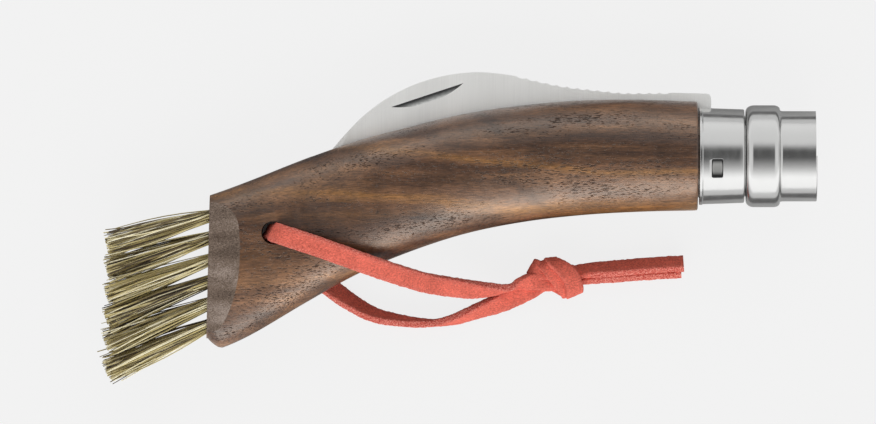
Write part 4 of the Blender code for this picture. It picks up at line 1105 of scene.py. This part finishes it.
def make_ferrule(looks, struck):
    """A stepped tube with a turned lip, a slot for the blade and one punched crimp mark."""
    rear = -FERRULE_REAR
    wide, waist, thin = FERRULE_RADII
    profile = [(rear, FERRULE_BORES[0]), (rear, wide)]
    profile += [(rear + 0.15 * MM * (1 - math.cos(turn)), wide + 0.1 * MM * math.sin(turn)) for turn in quarter(3)]
    neck, waist_start = (rear + 0.75 * MM, wide - 0.04 * MM), (-FERRULE_STEP - 0.3 * MM, waist)
    profile += [(rear + 0.55 * MM, wide + 0.1 * MM), neck]
    profile += [tuple(blend(ends, step / 8) for ends in zip(neck, waist_start)) for step in range(1, 9)]
    profile += [(-FERRULE_STEP - 0.3 * MM * (1 - math.sin(turn)), waist - 0.3 * MM * (1 - math.cos(turn)))
                for turn in quarter(4)]
    front, back = FERRULE_ENDS
    profile += [(-FERRULE_STEP, thin), (front, thin), (front, FERRULE_BORES[1]), (back, FERRULE_BORES[1])]
    profile += [(back, FERRULE_BORES[0])]
    ferrule = spun("fixed_collar", profile)
    mark = block((rear + MARK_SPAN[0], -MARK_HALF_HEIGHT, wide - MARK_DEPTH),
                 (rear + MARK_SPAN[1], MARK_HALF_HEIGHT, wide + 4 * MM))
    change(mark, "BEVEL", width=MARK_ROUND, segments=4)
    mark.data.transform(Matrix.Rotation(MARK_TURN, 4, "X"))
    give_looks(ferrule, mark, looks, struck)
    saw_cut = block((-FAR, 0, -SLOT_WIDTH / 2), (FAR, FAR, SLOT_WIDTH / 2))
    cut(ferrule, saw_cut, drilled(PIN_BORE, 2 * FAR, (0, 0, 0)), mark)
    soften(ferrule, 0.05 * MM)
    return hand_over(ferrule, looks, "handle", ["fixed_ferrule"], 30)


def make_lock_ring(looks):
    """A split tube with a hollow bead round its rear half."""
    def arc(turns, x, reach, radius, rise):
        """Points on a quarter of an ellipse, which bulges outwards."""
        return [(x + reach * (1 - math.cos(turn)), radius + rise * math.sin(turn)) for turn in turns]

    profile = [(-RING_REAR, RING_BORE), *arc(quarter(10), -RING_REAR, 1.6 * MM, 9.0 * MM, 1.25 * MM)]
    profile += arc(reversed(quarter(10)), BEAD_FRONT, -1.3 * MM, 9.45 * MM, 0.8 * MM)
    profile += [(BEAD_FRONT + 0.5 * MM * (1 - math.cos(turn)), RING_RADIUS + 0.35 * MM * (1 - math.sin(turn)))
                for turn in quarter(4)[1:]]
    # Two more rows keep the tube's reflections straight up to its rounded lip
    profile += [(BEAD_FRONT + 0.65 * MM, RING_RADIUS), (RING_FRONT - 0.4 * MM, RING_RADIUS)]
    profile += [(RING_FRONT - 0.22 * MM * (1 - math.sin(turn)), RING_RADIUS - 0.22 * MM * (1 - math.cos(turn)))
                for turn in quarter(3)]
    groove = BEAD_RADIUS - 0.7 * MM
    profile += [(RING_FRONT, RING_BORE), (BEAD_FRONT - 0.7 * MM, RING_BORE), (BEAD_FRONT - 1.3 * MM, groove)]
    profile += [(-RING_REAR + 1.3 * MM, groove), (-RING_REAR + 0.7 * MM, RING_BORE)]
    ring = spun("turning_lock_ring", profile)
    cut(ring, block((-FAR, 0, -RING_HALF_SLOT), (FAR, FAR, RING_HALF_SLOT)),
        block((RING_FRONT - CAM_STEP, 0, -FAR), (FAR, FAR, FAR)))
    soften(ring, 0.06 * MM)
    return hand_over(ring, looks, "lock_ring", ["lock_ring"], 30)


# Brush


def make_tuft(number, mouth, direction, looks, droop):
    """Thin bent hairs that stand out of a bore in small clumps, trimmed to one line at their tips."""
    sizes = bpy.context.scene.knife_sizes
    chance = random.Random(40 + number)
    matrix = along_bore(mouth, direction)
    clumps = [(chance.uniform(-1, 1), chance.uniform(-1, 1), chance.uniform(-0.1, 0.1)) for _ in range(CLUMPS)]
    data = bpy.data.curves.new(f"bristle_tuft_{number}", "CURVE")
    data.dimensions = "3D"
    data.bevel_depth = sizes.bristle_radius
    data.bevel_resolution = 0
    data.use_fill_caps = True
    tones = []
    reach = BORE_RADIUS - 0.3 * MM - sizes.bristle_radius
    for index in range(sizes.bristles):
        out = reach * math.sqrt((index + 0.5) / sizes.bristles)
        turn = index * math.pi * (3 - math.sqrt(5))
        a, b = out * math.cos(turn), out * math.sin(turn)
        clump = min(clumps, key=lambda c: (c[0] * reach - a) ** 2 + (c[1] * reach - b) ** 2)
        stray = STRAYS[1] if chance.random() < STRAYS[0] else 1.0
        lean = (droop + clump[2] * 0.45 + stray * chance.gauss(0, 0.028), stray * chance.gauss(0, 0.03))
        sway = (chance.gauss(0, 0.35 * MM), chance.gauss(0, 0.3 * MM))
        trimmed = BUTT_X - BRUSH_LENGTH + abs(chance.gauss(0, 0.9 * MM)) - 0.6 * MM
        if chance.random() < SHORT_HAIRS[0]:
            trimmed += chance.uniform(*SHORT_HAIRS[1:]) * MM
        length = (trimmed - mouth.x) / direction.x - HAIR_ROOT
        spline = data.splines.new("POLY")
        spline.points.add(HAIR_STEPS)
        for step, point in enumerate(spline.points):
            share = step / HAIR_STEPS
            x = HAIR_ROOT + length * share
            spread = 1 + 0.4 * share ** 1.5
            y = a * spread + lean[0] * length * share + sway[0] * math.sin(math.pi * share)
            z = b * spread + lean[1] * length * share + sway[1] * math.sin(math.pi * share)
            point.co = (*(matrix @ Vector((x, y, z))), 1.0)
            taper = 1.0 if share < 0.6 else 1.0 - 0.75 * (share - 0.6)
            point.radius = taper * (0.75 + 0.5 * ((index * 7) % 10) / 10)
        tones.append(min(1.0, max(0.0, chance.random() ** 0.78 + 3.0 * clump[2] * chance.random())))
    curve = bpy.data.objects.new(data.name, data)
    bpy.context.scene.collection.objects.link(curve)
    only(curve)
    bpy.ops.object.convert(target="MESH")
    tuft = bpy.context.active_object
    mesh = tuft.data
    each = len(mesh.vertices) // sizes.bristles
    marks = mesh.attributes.new("hair_tone", "FLOAT", "POINT")
    shown = [tones[min(index // each, len(tones) - 1)] for index in range(len(mesh.vertices))]
    marks.data.foreach_set("value", shown)
    return hand_over(tuft, looks, "handle", [f"tuft_{number}"], 60)


# Lace


def route_rows(route):
    """Each row's point and the way that its face looks, from the direction of its width."""
    points = [Vector(row[:3]) for row in route]
    rows = []
    for index, row in enumerate(route):
        forward = (points[min(index + 1, len(route) - 1)] - points[max(index - 1, 0)]).normalized()
        heading, lift = math.radians(row[3]), math.radians(row[4])
        width = Vector((math.cos(heading) * math.cos(lift), math.sin(heading) * math.cos(lift), math.sin(lift)))
        rows.append((*points[index], *forward.cross(width).normalized(), 1.0, 1.0))
    return rows


def knot_rows(knot, side):
    """The knot's rows in the same form. The inner strand's rows name its other face, so side is -1 for it."""
    rows = []
    for row in knot:
        point = Vector(row[:3]) + Vector(KNOT_CENTRE)
        rows.append((*point, *(side * Vector(row[3:6]).normalized()), row[6], KNOT_THICKNESS_SHARE))
    return rows


def ribbon_section():
    """Corners of the lace's section as shares of its half sizes, with how much each belongs to a cut edge."""
    section = []
    for x, y in ((1, 1), (-1, 1), (-1, -1), (1, -1)):
        turns = quarter(3) if x * y > 0 else quarter(3)[::-1]
        section += [(x, y, math.cos(turn), math.sin(turn), 1.0 if math.cos(turn) > 0.6 else 0.5) for turn in turns]
        if x * y > 0:
            section += [(share * x, y, 0.0, 1.0, 0.0) for share in (0.5, 0.0, -0.5)]
        else:
            section.append((x, 0.0, 1.0, 0.0, 1.0))
    return section


def ribbon(name, rows):
    """Sweep the flat lace, soft at its corners and cut a little unevenly, along rows of point, facing and size."""
    sizes = bpy.context.scene.knife_sizes
    line = smooth_line(rows, 12)
    line = evenly(line, round(sum(math.dist(a[:3], b[:3]) for a, b in zip(line, line[1:])) / LACE_STEP))
    section = ribbon_section()
    rings = []
    for index, row in enumerate(line):
        centre = Vector(row[:3])
        before, after = line[max(index - 1, 0)], line[min(index + 1, len(line) - 1)]
        forward = (Vector(after[:3]) - Vector(before[:3])).normalized()
        face = Vector(row[3:6])
        face = (face - forward * face.dot(forward)).normalized()
        across = face.cross(forward)
        squeeze = HOLE_SQUEEZE if math.dist(row[:3], line[0][:3]) < HOLE_REACH else 1.0
        half_width = sizes.lace_width / 2 * row[6] * squeeze
        half_thickness = sizes.lace_thickness / 2 * row[7] * squeeze
        ring = []
        for x, y, bulge_x, bulge_y, _ in section:
            rough = 0.07 * MM * noise.noise(centre * 0.9 + Vector((7.3 * x, 5.1 * y, 0)))
            rough += 0.08 * MM * noise.noise(centre * 2.3 + Vector((3.1 * x, 9.7 * y, 4 * bulge_x)))
            a, b = (
                share * (half - LACE_CORNER) + (bulge * LACE_CORNER + rough) * (1 if share > 0 else -1) * (bulge > 0)
                for share, half, bulge in ((x, half_width, bulge_x), (y, half_thickness, bulge_y)))
            ring.append(centre * MM + across * a + face * b)
        rings.append(ring)
    bm = bmesh.new()
    loft(bm, rings)
    piece = new_mesh(name, bm)
    marks = piece.data.attributes.new("cut_edge", "FLOAT", "POINT")
    pale = [1.0 if row[7] > (1 + KNOT_THICKNESS_SHARE) / 2 else PRESSED_EDGE for row in line]
    marks.data.foreach_set("value", [share * corner[4] for share in pale for corner in section])
    return piece, [tuple(Vector(row[:3]) * MM + PIVOT) for row in line]


def paper_floor(colour):
    """Matt paper, as pale to the camera as the surroundings, which takes the knife's soft shadow.

    Glossy rays alone see darker cards on it, which give polished metal its outlines and keep the sheen off
    the edges of the wood.
    """
    made, surface, add = new_material("matt_paper_floor", Roughness=0.9, Specular_IOR_Level=0.1)
    rays = add("LightPath")
    spot = add("TexCoord").outputs["Object"]

    def distance(x, y):
        return add("VectorMath", spot, (x, y, FLOOR_Z), operation="DISTANCE").outputs["Value"]

    shares = add("Math", distance(PIVOT.x, PIVOT.y + COLLAR_CARD_RISE), 0.1, operation="DIVIDE")
    card = add("ValToRGB", shares, stops=[(far, grey(level)) for far, level in COLLAR_CARD])
    near, far = HANDLE_CARD_EDGE
    aside = add("MapRange", distance(PIVOT.x - HANDLE_CARD_BACK, PIVOT.y), From_Min=near, From_Max=far,
                To_Min=HANDLE_CARD_SHADE)
    cards = add("VectorMath", card, Scale=aside, operation="SCALE")
    mirrored = add("Mix", rays.outputs["Is Glossy Ray"], at={6: grey(1.0), 7: cards}, data_type="RGBA")
    paper = add("VectorMath", mirrored.outputs[2], colour[:3], operation="MULTIPLY")
    # The floor's colour under the lanyard hole is painted dark, as painted shade, and the glow fades out round it
    gap = distance(PIVOT.x + HOLE_X, PIVOT.y + hole_place()[0])
    painted_hole_shade = add("MapRange", gap, From_Min=HOLE_DARK[0], From_Max=HOLE_DARK[1], To_Min=HOLE_DARK_SHADE)
    fill(surface, {"Base Color": add("VectorMath", paper, Scale=painted_hole_shade, operation="SCALE")})
    glowing = add("MapRange", gap, From_Min=GLOW_EDGE[0], From_Max=GLOW_EDGE[1], To_Max=FLOOR_GLOW)
    seen = add("Math", rays.outputs["Is Camera Ray"], glowing, operation="MULTIPLY")
    glow = add("Emission", Color=colour, Strength=1.0)
    fill(made.node_tree.nodes["Material Output"], {"Surface": add("MixShader", seen, surface, glow)})
    return made


def light_tent(world, colour):
    """Surroundings of one pale colour to the camera, and a photographer's light tent to shiny surfaces."""
    world.use_nodes = True
    world.node_tree.nodes.clear()
    add = partial(add_node, world.node_tree)
    rays = add("LightPath")
    shown = add("Math", rays.outputs["Is Camera Ray"], rays.outputs["Is Transmission Ray"], operation="MAXIMUM")
    axes = add("SeparateXYZ", add("TexCoord").outputs["Generated"])
    angle = add("Math", axes.outputs["Y"], axes.outputs["Z"], operation="ARCTAN2")
    share = add("MapRange", angle, From_Min=-math.pi, From_Max=math.pi)
    tent, gap = (add("ValToRGB", share, stops=[(0.5 + turn / 360, grey(level)) for turn, level in rows])
                 for rows in (TENT_SHARES, GAP_SHARES))
    side = add("Math", axes.outputs["X"], operation="ABSOLUTE")
    beside = add("MapRange", side, From_Min=0.16, From_Max=0.32)
    opened = add("Mix", beside, at={2: gap, 3: 1.0})
    dimmed = add("MapRange", side, From_Min=0.85, From_Max=1.0, To_Min=TENT_BRIGHTEST, To_Max=0.5 * TENT_BRIGHTEST)
    both = add("Math", tent, opened, operation="MULTIPLY")
    mirrored = add("Math", both, dimmed, operation="MULTIPLY")
    indirect = add("Mix", rays.outputs["Is Glossy Ray"], at={2: DIFFUSE_LEVEL, 3: mirrored})
    level = add("Mix", shown, at={2: indirect, 3: 1.0})
    add("OutputWorld", add("Background", Color=colour, Strength=level))


class KNIFE_OT_stage(bpy.types.Operator):
    """Set the camera over the knife, with a pale floor and soft studio light."""

    bl_idname = "knife.stage"
    bl_label = "Stage"

    def execute(self, context):
        scene = context.scene
        data = bpy.data.cameras.new("camera")
        data.lens, data.sensor_width = CAMERA_LENS, SENSOR_WIDTH
        camera = bpy.data.objects.new("camera", data)
        camera.location = PIVOT + Vector(CAMERA_PLACE) * MM
        scene.collection.objects.link(camera)
        scene.camera = camera
        scene.view_settings.view_transform = "Standard"

        bpy.ops.object.select_all(action="DESELECT")
        bpy.ops.mesh.primitive_plane_add(size=6.0)
        floor = context.active_object
        floor.data.transform(Matrix.Translation((0, 0, FLOOR_Z)))
        floor.name = "floor"
        floor.data.materials.append(paper_floor(scene.knife_colours.floor))

        scene.world = scene.world or bpy.data.worlds.new("world")
        light_tent(scene.world, scene.knife_colours.floor)

        wood = bpy.data.collections.new(STRIP_LIT)
        for name, place, long_side, short_side, power, strip in LAMPS:
            lamp = bpy.data.lights.new(name, "AREA")
            lamp.shape, lamp.size, lamp.size_y, lamp.energy = "RECTANGLE", long_side, short_side, power
            holder = bpy.data.objects.new(name, lamp)
            holder.location = place
            holder.rotation_euler = (-Vector(place)).to_track_quat("-Z", "Y").to_euler()
            holder.visible_glossy = strip
            if strip:
                lamp.color = STRIP_TINT
                holder.light_linking.receiver_collection = wood
            scene.collection.objects.link(holder)
        return {"FINISHED"}


class KNIFE_OT_lace(bpy.types.Operator):
    """Thread the suede lace through its hole and tie both strands in one overhand knot."""

    bl_idname = "knife.lace"
    bl_label = "Lace"

    def execute(self, context):
        looks = suede()
        strands = (
            ("suede_lace_front", FRONT_ROUTE, OUTER_KNOT, UPPER_TAIL_ROUTE, 1,
             ["lace_front", "lace_knot", "lace_tail_upper"]),
            ("suede_lace_back", BACK_ROUTE, INNER_KNOT, LOWER_TAIL_ROUTE, -1, ["lace_back", "lace_tail_lower"]),
        )
        for name, route, knot, tail, side, nodes in strands:
            tail_rows = route_rows(tail)
            if side > 0:
                tail_rows = [(*row[:3], -row[3], -row[4], -row[5], *row[6:]) for row in tail_rows]
            rows = route_rows(route) + knot_rows(knot, side) + tail_rows
            piece, path = ribbon(name, rows)
            hand_over(piece, looks, "handle", nodes, 50)
        return {"FINISHED"}


class KNIFE_OT_handle(bpy.types.Operator):
    """Make the bent walnut handle with its slot, lanyard hole, facets and bristle bores."""

    bl_idname = "knife.handle"
    bl_label = "Handle"

    def execute(self, context):
        bpy.data.collections[STRIP_LIT].objects.link(make_handle(walnut()))
        return {"FINISHED"}


class KNIFE_OT_blade(bpy.types.Operator):
    """Make the hooked blade with its serrated back and nail nick."""

    bl_idname = "knife.blade"
    bl_label = "Blade"

    def execute(self, context):
        make_blade(brushed_steel(), stamped_steel())
        return {"FINISHED"}


class KNIFE_OT_collar(bpy.types.Operator):
    """Make the fixed ferrule and the turning lock ring, and dress the rivet."""

    bl_idname = "knife.collar"
    bl_label = "Collar"

    def execute(self, context):
        looks = polished_steel()
        # The crimp mark's walls are painted dark, as painted shade in the mark
        make_ferrule(looks, bare_steel("punched_steel_painted_shade", "3A3A3A", "A2A2A0"))
        make_lock_ring(looks)
        dress_node("pivot_rivet", looks)
        return {"FINISHED"}


class KNIFE_OT_brush(bpy.types.Operator):
    """Fill the butt's bores with tufts of bristle, and dress their anchors."""

    bl_idname = "knife.brush"
    bl_label = "Brush"

    def execute(self, context):
        looks = boar_bristle()
        drawn = bare_steel("drawn_steel_wire", "9A9A98", "9A9A98")
        for number, (mouth, direction) in enumerate(tuft_places(), start=1):
            row = (number - 1) // 2
            make_tuft(number, mouth, direction, looks, blend(TUFT_DROOPS, row / (TUFT_ROWS - 1)))
            dress_node(f"tuft_anchor_{number}", drawn)
        return {"FINISHED"}


class KNIFE_PT_sidebar(bpy.types.Panel):
    """Lists the knife's pieces and their settings."""

    bl_idname = "KNIFE_PT_sidebar"
    bl_label = "Folding Mushroom Knife"
    bl_space_type = "VIEW_3D"
    bl_region_type = "UI"
    bl_category = "Knife"

    def draw(self, context):
        for operator in OPERATORS:
            self.layout.operator(operator.bl_idname)
        for group in (context.scene.knife_sizes, context.scene.knife_colours):
            for key in group.__annotations__:
                self.layout.prop(group, key)


OPERATORS = (KNIFE_OT_stage, KNIFE_OT_lace, KNIFE_OT_handle, KNIFE_OT_blade, KNIFE_OT_collar, KNIFE_OT_brush)
CLASSES = (KnifeSizes, KnifeColours, *OPERATORS, KNIFE_PT_sidebar)


def register():
    for kind in CLASSES:
        bpy.utils.register_class(kind)
    bpy.types.Scene.knife_sizes = PointerProperty(type=KnifeSizes)
    bpy.types.Scene.knife_colours = PointerProperty(type=KnifeColours)


def unregister():
    del bpy.types.Scene.knife_colours
    del bpy.types.Scene.knife_sizes
    for kind in reversed(CLASSES):
        bpy.utils.unregister_class(kind)


def main():
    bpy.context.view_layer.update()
    register()
    bpy.ops.knife.stage()
    bpy.ops.knife.lace()
    bpy.ops.knife.handle()
    bpy.ops.knife.blade()
    bpy.ops.knife.collar()
    bpy.ops.knife.brush()


if __name__ == "__main__":
    main()
